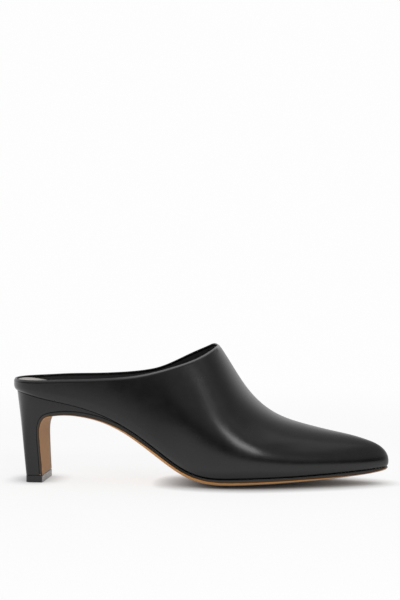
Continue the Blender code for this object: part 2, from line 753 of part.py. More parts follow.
def build_lift(material):
    """Heel lift: the outline of the heel's foot, carried on under the outsole's end"""
    shares = np.concatenate([
        np.linspace(0, BACK_SHARE, BACK_STEPS + 1)[1:],
        blend(BACK_SHARE, BACK_SHARE + CORNER_SHARE, np.linspace(0, 1, CORNER_STEPS + 1)[1:]),
        [1],
    ])
    x, y = lift_outline(shares, LIFT_FRONT_X)
    outline = bpy.data.curves.new("heel_lift", "CURVE")
    outline.dimensions = "2D"
    outline.fill_mode = "BOTH"
    outline.extrude = LIFT_HEIGHT / 2
    loop = outline.splines.new("POLY")
    points = np.stack([np.concatenate([x[::-1], x]), np.concatenate([-y[::-1], y])], axis=-1)
    loop.points.add(len(points) - 1)
    for point, (px, py) in zip(loop.points, points):
        point.co = (px, py, 0, 1)
    loop.use_cyclic_u = True
    guide = bpy.data.objects.new("lift_outline", outline)
    mesh = bpy.data.meshes.new_from_object(guide)
    bpy.data.objects.remove(guide)
    work = bmesh.new()
    work.from_mesh(mesh)
    bmesh.ops.remove_doubles(work, verts=work.verts, dist=WELD)
    work.to_mesh(mesh)
    work.free()
    lift = place("heel_lift", mesh, material)
    lift.location.z = LIFT_HEIGHT / 2
    return lift


def main():
    for item in list(bpy.data.objects):
        bpy.data.objects.remove(item)
    collection = bpy.data.collections.new("heeled_mule")
    bpy.context.scene.collection.children.link(collection)
    black_leather = finish_of("black_leather", (0.012, 0.012, 0.012), 0.34)
    build_upper(black_leather)
    build_heel(black_leather)
    build_insole(finish_of("footbed_leather", (0.52, 0.49, 0.45), 0.60))
    build_outsole(finish_of("sole_leather", (0.42, 0.22, 0.10), 0.50))
    build_lift(finish_of("lift_rubber", (0.05, 0.05, 0.05), 0.55))


if __name__ == "__main__":
    main()
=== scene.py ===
"""Looks of a heeled mule for the right foot: leather upper with a folded topline, lining,
footbed, leather outsole with an inked edge, covered heel and heel lift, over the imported
solids. Sizes are in metres, +X to the toe, +Y to the inner side of the foot, +Z up.
"""

import bmesh
import bpy
import numpy as np
from bpy.props import FloatProperty, FloatVectorProperty, IntProperty, PointerProperty
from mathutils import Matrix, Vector


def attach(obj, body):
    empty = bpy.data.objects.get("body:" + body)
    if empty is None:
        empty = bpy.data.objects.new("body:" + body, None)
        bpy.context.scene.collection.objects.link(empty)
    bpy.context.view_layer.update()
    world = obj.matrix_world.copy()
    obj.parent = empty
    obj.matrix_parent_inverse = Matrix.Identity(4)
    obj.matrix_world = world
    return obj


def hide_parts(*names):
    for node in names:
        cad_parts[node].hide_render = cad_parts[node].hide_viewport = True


bl_info = {
    "name": "Heeled Mule",
    "version": (1, 0, 0),
    "blender": (4, 5, 0),
    "location": "3D View > Sidebar > Mule",
    "description": "Leathers, sole and heel of a pointed mule over its packed solids",
    "category": "Add Mesh",
}

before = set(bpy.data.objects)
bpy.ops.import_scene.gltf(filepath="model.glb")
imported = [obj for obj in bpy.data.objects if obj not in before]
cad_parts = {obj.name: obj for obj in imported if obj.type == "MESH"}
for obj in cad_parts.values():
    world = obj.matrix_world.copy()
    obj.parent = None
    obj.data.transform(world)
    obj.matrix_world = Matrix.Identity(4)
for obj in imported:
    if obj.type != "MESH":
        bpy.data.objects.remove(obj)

# Last, upper, bottom and heel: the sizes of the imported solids
LENGTH = 0.260
BALL_WIDTH = 0.078
SEAT_WIDTH = 0.051
HEEL_HEIGHT = 0.0628
TOE_SPRING = 0.0052
THROAT_HEIGHT = 0.0950
TOE_HEIGHT = 0.0297
BACK_RIM = 0.0085
BULGE = 0.0042
TUCK_HEIGHT = 0.0100
RIDGE_SETBACK = 0.0128
INNER_RISE = 0.0030
OUTER_DROP = 0.0014
WALL = 0.0017
LASTING_MARGIN = 0.011
SOLE_THICKNESS = 0.0039
BEVEL = 0.0020
SOLE_MARGIN = 0.0006
CROWN = 0.0038
TREAD_WEAR = 0.0010
FOOTBED = 0.0075
INSOLE_EDGE = 0.0012
LIFT_SETBACK = 0.0102
LIFT_LENGTH = 0.0125
LIFT_WIDTH = 0.0360
LIFT_HEIGHT = 0.0048
LIFT_CORNER = 0.0032
LIFT_BOW = 0.0006
FLAP = 0.0020
WING_LENGTH = 0.0556
WING_RUNOUT = 0.008
GAP = 0.0003

# One row for each section across the last, heel to toe, in shares of the sizes above
SECTION_COLUMNS = (
    "station", "seat", "lateral", "medial", "pitch", "spring",
    "crown", "bulge", "tuck", "insole", "sole", "bevel",
)
SECTION_ROWS = (
    (0.00, 1.00, 0.000, 0.000, 1.000, 0.00, 0.00, 0.55, 0.42, 1.00, 0.53, 0.05),
    (0.03, 1.00, 0.353, 0.353, 0.982, 0.00, 0.00, 0.52, 0.42, 1.00, 0.53, 0.05),
    (0.09, 1.00, 0.488, 0.488, 0.921, 0.00, 0.00, 0.45, 0.50, 0.98, 0.60, 0.10),
    (0.20, 1.00, 0.514, 0.490, 0.808, 0.00, 0.10, 0.42, 0.60, 0.90, 0.84, 0.25),
    (0.31, 0.70, 0.464, 0.377, 0.587, 0.00, 0.35, 0.55, 0.75, 0.76, 0.95, 0.60),
    (0.40, 0.45, 0.462, 0.348, 0.305, 0.00, 0.60, 0.70, 0.90, 0.65, 1.00, 1.00),
    (0.47, 0.25, 0.481, 0.375, 0.094, 0.00, 0.80, 0.85, 1.00, 0.58, 1.00, 1.10),
    (0.53, 0.10, 0.502, 0.416, 0.010, 0.00, 0.95, 0.95, 1.00, 0.56, 1.00, 1.00),
    (0.60, 0.00, 0.505, 0.464, 0.000, 0.01, 1.00, 1.00, 1.00, 0.55, 0.98, 0.80),
    (0.69, 0.00, 0.467, 0.490, 0.000, 0.12, 1.00, 1.00, 0.92, 0.55, 0.88, 0.65),
    (0.79, 0.00, 0.372, 0.427, 0.000, 0.33, 0.80, 0.90, 0.76, 0.54, 0.80, 0.50),
    (0.88, 0.00, 0.250, 0.295, 0.000, 0.58, 0.50, 0.70, 0.58, 0.52, 0.76, 0.32),
    (0.95, 0.00, 0.119, 0.188, 0.000, 0.80, 0.22, 0.45, 0.42, 0.50, 0.68, 0.25),
    (1.00, 0.00, -0.051, 0.051, 0.000, 1.00, 0.00, 0.28, 0.36, 0.50, 0.50, 0.60),
)
BALL_ROW = 8

# Ridge down the middle of the vamp, where both walls of a section meet
RIDGE_COLUMNS = ("station", "instep", "toe", "inward")
RIDGE_ROWS = (
    (0.070, 1.580, 0.00, 0.000),
    (0.225, 1.530, 0.00, 0.010),
    (0.360, 1.430, 0.00, 0.035),
    (0.450, 1.290, 0.00, 0.055),
    (0.505, 1.148, 0.00, 0.062),
    (0.544, 1.010, 0.00, 0.065),
    (0.575, 0.849, 0.10, 0.066),
    (0.614, 0.636, 0.25, 0.067),
    (0.653, 0.466, 0.40, 0.067),
    (0.700, 0.328, 0.55, 0.066),
    (0.770, 0.212, 0.70, 0.062),
    (0.856, 0.112, 0.85, 0.056),
    (0.927, 0.034, 0.96, 0.050),
    (0.952, 0.000, 1.00, 0.048),
)

# Topline down the middle, from the side
COLLAR_COLUMNS = ("station", "rise")
COLLAR_ROWS = (
    (-0.02, 0.000),
    (0.055, 0.000),
    (0.130, 0.034),
    (0.205, 0.058),
    (0.270, 0.098),
    (0.325, 0.158),
    (0.372, 0.252),
    (0.419, 0.408),
    (0.466, 0.597),
    (0.505, 0.768),
    (0.544, 0.975),
    (0.600, 1.270),
)

# Between these stations the topline comes to run higher on the inner side, lower outside
SKEW_STATIONS = (0.36, 0.50)
INNER_REACH = 0.16
OUTER_REACH = 0.42

# Front of the heel: up the breast, round the arch and along the underside of the wing
BREAST_COLUMNS = ("along", "height", "sole")
BREAST_ROWS = (
    (-0.014, 0.287, 0.00),
    (-0.026, 0.478, 0.00),
    (-0.018, 0.630, 0.05),
    (0.047, 0.742, 0.20),
    (0.190, 0.791, 0.40),
    (0.388, 0.806, 0.58),
    (0.604, 0.788, 0.72),
    (0.820, 0.742, 0.84),
)
WING_TIP_SOLE = 0.93
ARCH_INDEX = 2

# Soft folds on the outer wall. Each row is one swell or hollow: the
# station and height of its two ends, how far it bows up between them, its reach above
# and below the line, and how far it stands out, all but the station in shares of
# THROAT_HEIGHT.
FOLD_ROWS = (
    (0.38, 0.720, 0.78, 0.300, -0.145, 0.170, 0.240, 0.0180),
    (0.66, 0.355, 0.81, 0.360, -0.018, 0.030, 0.030, 0.0045),
)
FOLD_FADE = 0.32          # share of a fold's length over which it fades at each end
FOLD_RISE = 0.16          # they grow to the full over this share of BALL_WIDTH off the ridge

WALL_RISE = 0.50
WALL_CREST = 0.56
TUCK_ASIDE = (0.60, 1.00)
TUCK_ABOVE = (0.15, 0.50)
MARGIN_LIMIT = 0.45
SPINE_BACK = 0.020
SPINE_FRONT = 0.009
SPINE_POWER = 10
BACK_SHARE = 0.45
CORNER_SHARE = 0.30

# Leather thicknesses and edges that only show here
UPPER_LEATHER = 0.0010    # upper leather without its lining
FOLD_EASE = 0.0009        # below the fold, where the leather thins behind the lining
ROLL = 0.0005             # how far the outer face leans in at the folded edge
ROLL_HEIGHT = 0.0017      # and over what height
# A grey band painted along the topline stands in for the highlight that the folded edge catches
HIGHLIGHT_HEIGHT = 0.0012       # height of the topline's band of painted highlight
HIGHLIGHT_STATIONS = (0.25, 0.42)   # it grows from faint to full between these
HIGHLIGHT_FAINT = 0.25
LINING_DROP = 0.0011      # from the inner edge of the fold down to the edge of the lining
LINING_FOOT = 0.35        # climb at which the lining goes under the footbed
EDGE_ROUND = 0.00018      # rounding of the outsole's edges
LIFT_ROUND = 0.00035      # rounding of the heel lift's edges

FOOT_CROWD = 1.1
TOP_CROWD = 2.0
WING_FAN = 1.2
STEP_CROWD = 1.6
WELD = 2e-6
NUDGE = 1e-4
SAMPLES = 320
SHARP_ANGLE = 38


class MuleLeather(bpy.types.PropertyGroup):
    """Colours and surfaces of the leathers and the lift"""

    upper_colour: FloatVectorProperty(
        name="Upper", description="Colour of the black calf", subtype="COLOR",
        size=3, min=0, max=1, default=(0.0042, 0.0042, 0.0044),
    )
    # Grey painted along the topline as the highlight of its folded edge
    highlight_colour: FloatVectorProperty(
        name="Highlighted edge", description="Colour of the rubbed topline", subtype="COLOR",
        size=3, min=0, max=1, default=(0.20, 0.20, 0.20),
    )
    upper_gloss: FloatProperty(
        name="Upper roughness", description="Roughness of the polished calf",
        min=0.05, max=1, default=0.25, subtype="FACTOR",
    )
    pore_size: FloatProperty(
        name="Pores", description="Distance between the pores of the calf",
        min=0.0001, max=0.003, default=0.00042, unit="LENGTH", precision=5,
    )
    lining_colour: FloatVectorProperty(
        name="Lining", description="Colour of the lining", subtype="COLOR",
        size=3, min=0, max=1, default=(0.013, 0.012, 0.012),
    )
    footbed_colour: FloatVectorProperty(
        name="Footbed", description="Colour of the footbed leather", subtype="COLOR",
        size=3, min=0, max=1, default=(0.62, 0.59, 0.55),
    )
    sole_colour: FloatVectorProperty(
        name="Sole", description="Colour of the natural sole leather", subtype="COLOR",
        size=3, min=0, max=1, default=(0.70, 0.33, 0.10),
    )
    tread_colour: FloatVectorProperty(
        name="Tread", description="Colour that the underside has darkened to", subtype="COLOR",
        size=3, min=0, max=1, default=(0.26, 0.19, 0.135),
    )
    ink_colour: FloatVectorProperty(
        name="Edge ink", description="Colour of the inked sole edge", subtype="COLOR",
        size=3, min=0, max=1, default=(0.014, 0.013, 0.013),
    )
    lift_colour: FloatVectorProperty(
        name="Lift", description="Colour of the heel lift", subtype="COLOR",
        size=3, min=0, max=1, default=(0.016, 0.016, 0.017),
    )


class MuleMesh(bpy.types.PropertyGroup):
    """How finely the pieces are made"""

    rows_behind: IntProperty(
        name="Rows behind the throat", description="Sections of one side, heel to throat",
        min=20, max=400, default=130,
    )
    rows_ahead: IntProperty(
        name="Rows ahead of the throat", description="Sections of one side, throat to toe",
        min=20, max=400, default=120,
    )
    wall_steps: IntProperty(
        name="Wall steps", description="Steps up the wall of a section",
        min=8, max=120, default=44,
    )
    across: IntProperty(
        name="Steps across", description="Steps from the middle of the bottom to its edge",
        min=4, max=60, default=20,
    )


class MuleStage(bpy.types.PropertyGroup):
    """Floor, lights and camera"""

    floor_tone: FloatProperty(
        name="Floor", description="Brightness of the floor", min=0, max=1,
        default=0.30, subtype="FACTOR",
    )
    # Glow of the floor near the shoe; it lifts the cast shadows and is cut by ambient occlusion into
    # a painted contact shadow
    floor_glow: FloatProperty(
        name="Floor glow", description="Light that comes up through the floor", min=0, max=1,
        default=0.78,
    )
    backdrop: FloatProperty(
        name="Backdrop", description="Brightness behind the shoe", min=0, max=2, default=0.985,
    )
    side_light: FloatProperty(
        name="Side light", description="Power of the low softbox on the shown side", min=0,
        default=5.2, unit="POWER",
    )
    fill_light: FloatProperty(
        name="Fill light", description="Power of the dim softbox overhead", min=0,
        default=6.0, unit="POWER",
    )
    front_band: FloatProperty(
        name="Dark band", description="Brightness of the room low on the shown side", min=0,
        max=1, default=0.02,
    )
    room: FloatProperty(
        name="Room", description="Brightness of the room above it", min=0, max=2, default=0.50,
    )
    back: FloatProperty(
        name="Back", description="Brightness of the room behind the shoe", min=0, max=2,
        default=1.0,
    )
    camera_distance: FloatProperty(
        name="Camera", description="Distance from the camera to the shoe", min=0.3,
        default=1.5, unit="LENGTH",
    )
    camera_turn: FloatProperty(
        name="Turn", description="Turn of the camera towards the toe",
        default=np.radians(6.36), subtype="ANGLE",
    )
    camera_height: FloatProperty(
        name="Height", description="Height of the camera", min=0.01,
        default=0.2065, unit="LENGTH",
    )
    aim_height: FloatProperty(
        name="Aim", description="Height that the camera looks at",
        default=0.1258, unit="LENGTH",
    )
    lens: FloatProperty(
        name="Lens", description="Focal length", min=10, default=130.7, unit="CAMERA",
    )


def table(columns, rows):
    """Columns of a table by name"""
    return dict(zip(columns, np.array(rows, dtype=float).T))


SECTION = table(SECTION_COLUMNS, SECTION_ROWS)
RIDGE = table(RIDGE_COLUMNS, RIDGE_ROWS)
COLLAR = table(COLLAR_COLUMNS, COLLAR_ROWS)
BREAST = table(BREAST_COLUMNS, BREAST_ROWS)

BACK_X = -LENGTH / 2 + BULGE * SECTION["bulge"][0]
TIP_X = LENGTH / 2 - BULGE * SECTION["bulge"][-1]
SOLE_LINE = TIP_X - BACK_X
BALL_EDGE = CROWN + SOLE_THICKNESS * SECTION["sole"][BALL_ROW] + GAP - TREAD_WEAR
RIM = HEEL_HEIGHT + BACK_RIM
LIFT_BACK_X = -LENGTH / 2 + LIFT_SETBACK
LIFT_FRONT_X = LIFT_BACK_X + LIFT_LENGTH
LIFT_TOP = LIFT_HEIGHT + GAP
BREAST_X = LIFT_FRONT_X - FLAP - GAP
WING_X = BREAST_X + WING_LENGTH
JOIN_X = WING_X + WING_RUNOUT


def curve_through(knots, values, period=None):
    """Natural cubic spline through the knots: on each span the value is a cubic whose
    second derivative runs straight from one knot's to the next, solved so that slopes
    agree. With a period the ends join the same way."""
    knots = np.asarray(knots, dtype=float)
    values = np.asarray(values, dtype=float)
    if period is not None:
        knots = np.append(knots, knots[0] + period)
        values = np.append(values, values[0])
    steps = np.diff(knots)
    slopes = np.diff(values) / steps
    count = len(knots)
    system = np.zeros((count, count))
    right = np.zeros(count)
    inner = np.arange(1, count - 1)
    system[inner, inner - 1] = steps[:-1]
    system[inner, inner] = 2 * (steps[:-1] + steps[1:])
    system[inner, inner + 1] = steps[1:]
    right[inner] = 6 * np.diff(slopes)
    system[0, 0] = 1
    if period is None:
        system[-1, -1] = 1
    else:
        system[0, -1] = -1
        system[-1, 0] = 2 * (steps[0] + steps[-1])
        system[-1, 1] = steps[0]
        system[-1, -2] = steps[-1]
        right[-1] = 6 * (slopes[0] - slopes[-1])
    bends = np.linalg.solve(system, right)

    def evaluate(at):
        at = np.asarray(at, dtype=float)
        if period is not None:
            at = knots[0] + np.mod(at - knots[0], period)
        i = np.clip(np.searchsorted(knots, at) - 1, 0, count - 2)
        low = knots[i + 1] - at
        high = at - knots[i]
        return (
            (bends[i] * low ** 3 + bends[i + 1] * high ** 3) / (6 * steps[i])
            + (values[i] / steps[i] - bends[i] * steps[i] / 6) * low
            + (values[i + 1] / steps[i] - bends[i + 1] * steps[i] / 6) * high
        )

    return evaluate


def blend(low, high, share):
    return low + (high - low) * share


def smooth(share):
    """Ease from 0 to 1: three squares less two cubes of the share"""
    share = np.clip(share, 0, 1)
    return share * share * (3 - 2 * share)


def bezier(points, share):
    """Cubic Bezier curve on four control points"""
    return (
        points[0] * (1 - share) ** 3
        + points[1] * 3 * share * (1 - share) ** 2
        + points[2] * 3 * share ** 2 * (1 - share)
        + points[3] * share ** 3
    )


def vector(x, y, z):
    return np.stack(np.broadcast_arrays(x, y, z), axis=-1).astype(float)


def unit(vectors):
    return vectors / np.linalg.norm(vectors, axis=-1, keepdims=True)


def turn_of(station):
    """Angle round the sole line whose halved versed sine is the station"""
    return np.arccos(1 - 2 * np.clip(station, 0, 1))


def station_of(turn):
    return (1 - np.cos(turn)) / 2


def station_at(x):
    return (x - BACK_X) / SOLE_LINE


def round_the_last(lateral, medial):
    """Closed spline of a value round the sole line, from heel to toe and back"""
    turns = turn_of(SECTION["station"])
    knots = np.concatenate([turns, 2 * np.pi - turns[-2:0:-1]])
    return curve_through(knots, np.concatenate([lateral, medial[-2:0:-1]]), 2 * np.pi)


LOCAL_WIDTH = blend(BALL_WIDTH, SEAT_WIDTH, SECTION["seat"])
SEAT_LINE = blend(BALL_EDGE, HEEL_HEIGHT, SECTION["pitch"]) + TOE_SPRING * SECTION["spring"]
side_y = round_the_last(-SECTION["lateral"] * LOCAL_WIDTH, SECTION["medial"] * LOCAL_WIDTH)
seat_line = round_the_last(SEAT_LINE, SEAT_LINE)
share_of = {name: round_the_last(SECTION[name], SECTION[name]) for name in SECTION_COLUMNS[4:]}
ridge_z = curve_through(
    RIDGE["station"], THROAT_HEIGHT * RIDGE["instep"] + TOE_HEIGHT * RIDGE["toe"]
)
ridge_y = curve_through(RIDGE["station"], BALL_WIDTH * RIDGE["inward"])
collar_z = curve_through(COLLAR["station"], blend(RIM, THROAT_HEIGHT, COLLAR["rise"]))


def seat_z(x):
    """Height of the sole line over a place along the shoe"""
    return seat_line(turn_of(station_at(x)))


def upright(x, height):
    """Upright distance that stands a height square on the slope of the sole line"""
    slope = (seat_z(x + NUDGE) - seat_z(x - NUDGE)) / (2 * NUDGE)
    return height * np.sqrt(1 + slope ** 2)


def crown_at(x):
    return CROWN * np.maximum(share_of["crown"](turn_of(station_at(x))), 0)


def sole_line(turn):
    """Point of the sole line and its outward direction: x is a halved versed sine of the
    turn, y and z are splines of it, and outward is the slope in plan turned a quarter"""
    x = BACK_X + SOLE_LINE * station_of(turn)
    along_x = SOLE_LINE * np.sin(turn) / 2
    along_y = (side_y(turn + NUDGE) - side_y(turn - NUDGE)) / (2 * NUDGE)
    size = np.hypot(along_x, along_y)
    return vector(x, side_y(turn), seat_z(x)), vector(along_y / size, -along_x / size, 0)


def bottom(turn, share, height, inset=0):
    """Point of the last's bottom at a height over it: straight in plan from the middle
    (share 0) to the sole line (share 1), and a parabola across that sinks by the crown"""
    edge, outward = sole_line(turn)
    edge = edge - outward * np.asarray(inset)[..., None]
    station = station_of(turn)
    spine_x = (
        BACK_X + SOLE_LINE * station
        + SPINE_BACK * (1 - station) ** SPINE_POWER
        - SPINE_FRONT * station ** SPINE_POWER
    )
    spine_y = (side_y(turn) + side_y(-turn)) / 2
    x = blend(spine_x, edge[..., 0], share)
    y = blend(spine_y, edge[..., 1], share)
    z = seat_z(x) - crown_at(x) * (1 - np.minimum(share, 1) ** 2) + upright(x, height)
    return vector(x, y, z)


def ridge_at(turn):
    """Station of the ridge that a section's walls end on"""
    last = station_at(TIP_X - RIDGE_SETBACK)
    return blend(RIDGE["station"][0], last, station_of(turn))


def ridge_point(station):
    return vector(BACK_X + SOLE_LINE * station, ridge_y(station), ridge_z(station))


def tuck(turn, climb):
    """How far the wall stands outside and above the sole line below its widest point:
    a Bezier curve of the climb in each direction"""
    stand = BULGE * share_of["bulge"](turn)
    tall = TUCK_HEIGHT * share_of["tuck"](turn)
    return stand * bezier((0, *TUCK_ASIDE, 1), climb), tall * bezier((0, *TUCK_ABOVE, 1), climb)


def folds(points, outer):
    """How far the outer wall stands out or in at points: for each fold, a bell of the
    height over its line, which is straight plus a parabola, times an ease at both ends.
    It only works on the outer side, and grows with the distance from the ridge."""
    station = station_at(points[..., 0])
    height = points[..., 2] / THROAT_HEIGHT
    total = np.zeros_like(station)
    for start, low, end, high, bow, above, below, depth in FOLD_ROWS:
        along = (station - start) / (end - start)
        line = blend(low, high, along) + 4 * bow * along * (1 - along)
        away = height - line
        bell = np.exp(-(away / np.where(away > 0, above, below)) ** 2)
        fade = smooth(along / FOLD_FADE) * smooth((1 - along) / FOLD_FADE)
        total += depth * THROAT_HEIGHT * bell * fade
    return total * outer


def skin(turn, climb):
    """Outer face of the upper. From climb 0 on the sole line to 1 at the widest point it
    is the tuck; from there to 2 on the ridge it is a Bezier curve that leaves upright and
    meets the ridge in the plane that both sides share there."""
    turn, climb = np.broadcast_arrays(turn, climb)
    foot, outward = sole_line(turn)
    aside, above = tuck(turn, np.clip(climb, 0, 1))
    up = vector(0, 0, 1)
    widest = foot + outward * aside[..., None] + up * above[..., None]
    station = ridge_at(turn)
    top = ridge_point(station)
    along = ridge_point(station + NUDGE) - ridge_point(station - NUDGE)
    along = along / along[..., :1]
    ahead = widest[..., :1] - top[..., :1]
    across = widest[..., 1:2] - top[..., 1:2] - ahead * along[..., 1:2]
    rise = widest + up * WALL_RISE * (top[..., 2:] - widest[..., 2:])
    crest = top + WALL_CREST * (along * ahead + vector(0, 1, 0) * across)
    wall = bezier((widest, rise, crest, top), np.clip(climb - 1, 0, 1)[..., None])
    shape = np.where((climb <= 1)[..., None], widest, wall)
    outer = smooth((ridge_y(station) - shape[..., 1]) / (FOLD_RISE * BALL_WIDTH))
    outer = outer * smooth(np.clip(climb, 0, 1))
    return shape - vector(0, folds(shape, outer), 0)


def over_topline(points, drop):
    """Height of points over the topline when it is cut a drop lower. The topline is the
    spline of its rows, raised towards the inner side and lowered towards the outer."""
    station = station_at(points[..., 0])
    inward = (points[..., 1] - ridge_y(station)) / BALL_WIDTH
    inner = INNER_RISE * smooth(inward / INNER_REACH)
    outer = OUTER_DROP * smooth(-inward / OUTER_REACH)
    start, full = SKEW_STATIONS
    skew = (inner - outer) * smooth((station - start) / (full - start))
    return points[..., 2] - collar_z(station) - skew + drop


def throat_turn(drop):
    """Turn of the section whose walls meet just where the topline crosses the ridge"""
    turns = np.linspace(0, np.pi, SAMPLES)
    over = over_topline(ridge_point(ridge_at(turns)), drop)
    i = np.nonzero(over > 0)[0][-1]
    return blend(turns[i], turns[i + 1], over[i] / (over[i] - over[i + 1]))


def top_climb(turn, drop):
    """Climb at which the wall of each section reaches the topline"""
    climbs = np.linspace(1, 2, SAMPLES)
    over = over_topline(skin(turn[:, None], climbs), drop)
    above = over >= 0
    i = np.clip(np.argmax(above, axis=1), 1, SAMPLES - 1)
    row = np.arange(len(turn))
    share = -over[row, i - 1] / (over[row, i] - over[row, i - 1])
    return np.where(above.any(axis=1), blend(climbs[i - 1], climbs[i], share), 2)


def both_sides(lateral):
    """Turns on the lateral side, then back to the heel on the medial side"""
    return np.concatenate([lateral, 2 * np.pi - lateral[-2:0:-1]])


def wall_rows(drop, behind, ahead):
    """Feet and tops of the rows round the upper, and how far each climbs. The feet are
    nearly even and the tops crowd towards the throat by the square of their share."""
    throat = throat_turn(drop)
    front = blend(throat, np.pi, np.linspace(0, 1, ahead + 1)[1:])
    back = np.linspace(1, 0, behind + 1)
    feet = both_sides(np.concatenate([throat * (1 - back ** FOOT_CROWD), front]))
    tops = both_sides(np.concatenate([throat * (1 - back ** TOP_CROWD), front]))
    open_top = np.cos(tops) > np.cos(throat) + NUDGE ** 2
    return feet, tops, np.where(open_top, top_climb(tops, drop), 2.0)


def wall_face(rows, share):
    """Points of the wall above its widest point on every row: the turn eases from the
    row's foot to its top while the climb rises evenly"""
    feet, tops, climbs = (values[:, None] for values in rows)
    return skin(blend(feet, tops, smooth(share)), blend(1, climbs, share))


def crowded(steps):
    """Shares from 0 to 1 that crowd towards 1: one less a power of the share left"""
    return 1 - (1 - np.linspace(0, 1, steps + 1)) ** STEP_CROWD


def closed_loop(rows):
    """Repeat the first row at the end"""
    return np.concatenate([rows, rows[:1]])


def quads_of(rows, columns):
    """Corners of the faces between neighbouring points of a grid"""
    index = np.arange(rows * columns).reshape(rows, columns)
    corners = (index[:-1, :-1], index[:-1, 1:], index[1:, 1:], index[1:, :-1])
    return np.stack(corners, axis=-1).reshape(-1, 4)


def face_out(grid):
    """Normal at each point of a grid round the shoe: the sum of the cross products of
    the diagonals of the faces round it, points in one place counted as one"""
    points = grid.reshape(-1, 3)
    _, same = np.unique(np.round(points / WELD), axis=0, return_inverse=True)
    same = same.reshape(-1)
    quads = quads_of(*grid.shape[:2])
    a, b, c, d = (points[quads[:, k]] for k in range(4))
    face = np.cross(d - b, c - a)
    total = np.zeros((same.max() + 1, 3))
    for k in range(4):
        np.add.at(total, same[quads[:, k]], face)
    return unit(total)[same].reshape(grid.shape)


class Panels:
    """Grids of points that are welded into one mesh, with marks for its finish"""

    def __init__(self):
        self.points = []
        self.faces = []
        self.marks = []
        self.count = 0

    def add(self, grid, **marks):
        """Faces over a grid of rows and columns. A mark is a number at each point."""
        rows, columns = grid.shape[:2]
        self.points.append(grid.reshape(-1, 3))
        self.faces.append(quads_of(rows, columns) + self.count)
        self.marks.append({
            name: np.broadcast_to(value, (rows, columns)).reshape(-1)
            for name, value in marks.items()
        })
        self.count += rows * columns

    def finish(self, name, material, slot, *nodes):
        mesh = bpy.data.meshes.new(name)
        faces = np.concatenate(self.faces)
        mesh.from_pydata(np.concatenate(self.points).tolist(), [], faces.tolist())
        for mark in sorted({key for marks in self.marks for key in marks}):
            values = np.concatenate([
                marks.get(mark, np.zeros(len(points)))
                for marks, points in zip(self.marks, self.points)
            ])
            layer = mesh.attributes.new(mark, "FLOAT", "POINT")
            layer.data.foreach_set("value", values.astype(np.float32))
        work = bmesh.new()
        work.from_mesh(mesh)
        bmesh.ops.remove_doubles(work, verts=work.verts, dist=WELD)
        bmesh.ops.recalc_face_normals(work, faces=work.faces)
        work.to_mesh(mesh)
        work.free()
        mesh.materials.append(material)
        mesh.shade_smooth()
        mesh.set_sharp_from_angle(angle=np.radians(SHARP_ANGLE))
        piece = bpy.data.objects.new(name, mesh)
        bpy.context.scene.collection.objects.link(piece)
        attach(piece, "root")
        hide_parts(*nodes)
        return piece


class Wire:
    """Output of a shader node. Arithmetic on it adds Math nodes."""

    def __init__(self, finish, socket):
        self.finish = finish
        self.socket = socket

    def math(self, operation, *values):
        return self.finish.node(
            "ShaderNodeMath", {"operation": operation}, dict(enumerate(values))
        )

    def __add__(self, other):
        return self.math("ADD", self, other)

    def __sub__(self, other):
        return self.math("SUBTRACT", self, other)

    def __rsub__(self, other):
        return self.math("SUBTRACT", other, self)

    def __mul__(self, other):
        return self.math("MULTIPLY", self, other)

    def __truediv__(self, other):
        return self.math("DIVIDE", self, other)

    __radd__ = __add__
    __rmul__ = __mul__

    def ease(self, low, high):
        """0 below low, 1 above high and eased between"""
        return self.finish.node(
            "ShaderNodeMapRange", {"interpolation_type": "SMOOTHSTEP"},
            {0: self, 1: low, 2: high, 3: 0.0, 4: 1.0},
        )


class Finish:
    """Material of one leather or rubber"""

    def __init__(self, name, roughness, **constants):
        self.material = bpy.data.materials.new(name)
        self.material.use_nodes = True
        self.tree = self.material.node_tree
        self.shader = self.tree.nodes["Principled BSDF"]
        self.set("Roughness", roughness)
        for key, value in constants.items():
            self.set(key.replace("_", " ").title().replace("Ior", "IOR"), value)
        self.place = self.node("ShaderNodeTexCoord", out="Object")

    def node(self, kind, settings=None, values=None, out=0):
        """Add a node with its settings and the values or links of its sockets"""
        node = self.tree.nodes.new(kind)
        for key, value in (settings or {}).items():
            setattr(node, key, value)
        for key, value in (values or {}).items():
            self.put(node.inputs[key], value)
        return Wire(self, node.outputs[out])

    def put(self, socket, value):
        if isinstance(value, Wire):
            self.tree.links.new(value.socket, socket)
        else:
            socket.default_value = value

    def set(self, key, value):
        self.put(self.shader.inputs[key], value)

    def mark(self, name):
        return self.node("ShaderNodeAttribute", {"attribute_name": name}, out="Fac")

    def stretched(self, x, y, z):
        """Object coordinates with each axis stretched"""
        return self.node("ShaderNodeMapping", None, {"Vector": self.place, "Scale": (x, y, z)})

    def noise(self, size, detail=2.0, place=None):
        """Noise of about 0 to 1 with lumps of a size in metres"""
        values = {"Vector": place or self.place, "Scale": 1 / size, "Detail": detail}
        return self.node("ShaderNodeTexNoise", None, values)

    def cells(self, size, place=None):
        """Distance to the nearest of points scattered a size apart"""
        return self.node(
            "ShaderNodeTexVoronoi", None, {"Vector": place or self.place, "Scale": 1 / size}
        )

    def mix(self, share, low, high):
        """Colour between two colours"""
        return self.node(
            "ShaderNodeMix", {"data_type": "RGBA"},
            {0: share, 6: self.colour(low), 7: self.colour(high)}, out=2,
        )

    def colour(self, value):
        return value if isinstance(value, Wire) else (*value, 1)

    def relief(self, height):
        """Bump from a height in millimetres"""
        self.set("Normal", self.node(
            "ShaderNodeBump", None, {"Height": height, "Distance": 0.001, "Strength": 1.0}
        ))


def tint(colour, factor):
    """Colour made lighter or darker"""
    return tuple(min(max(channel * factor, 0), 1) for channel in colour)


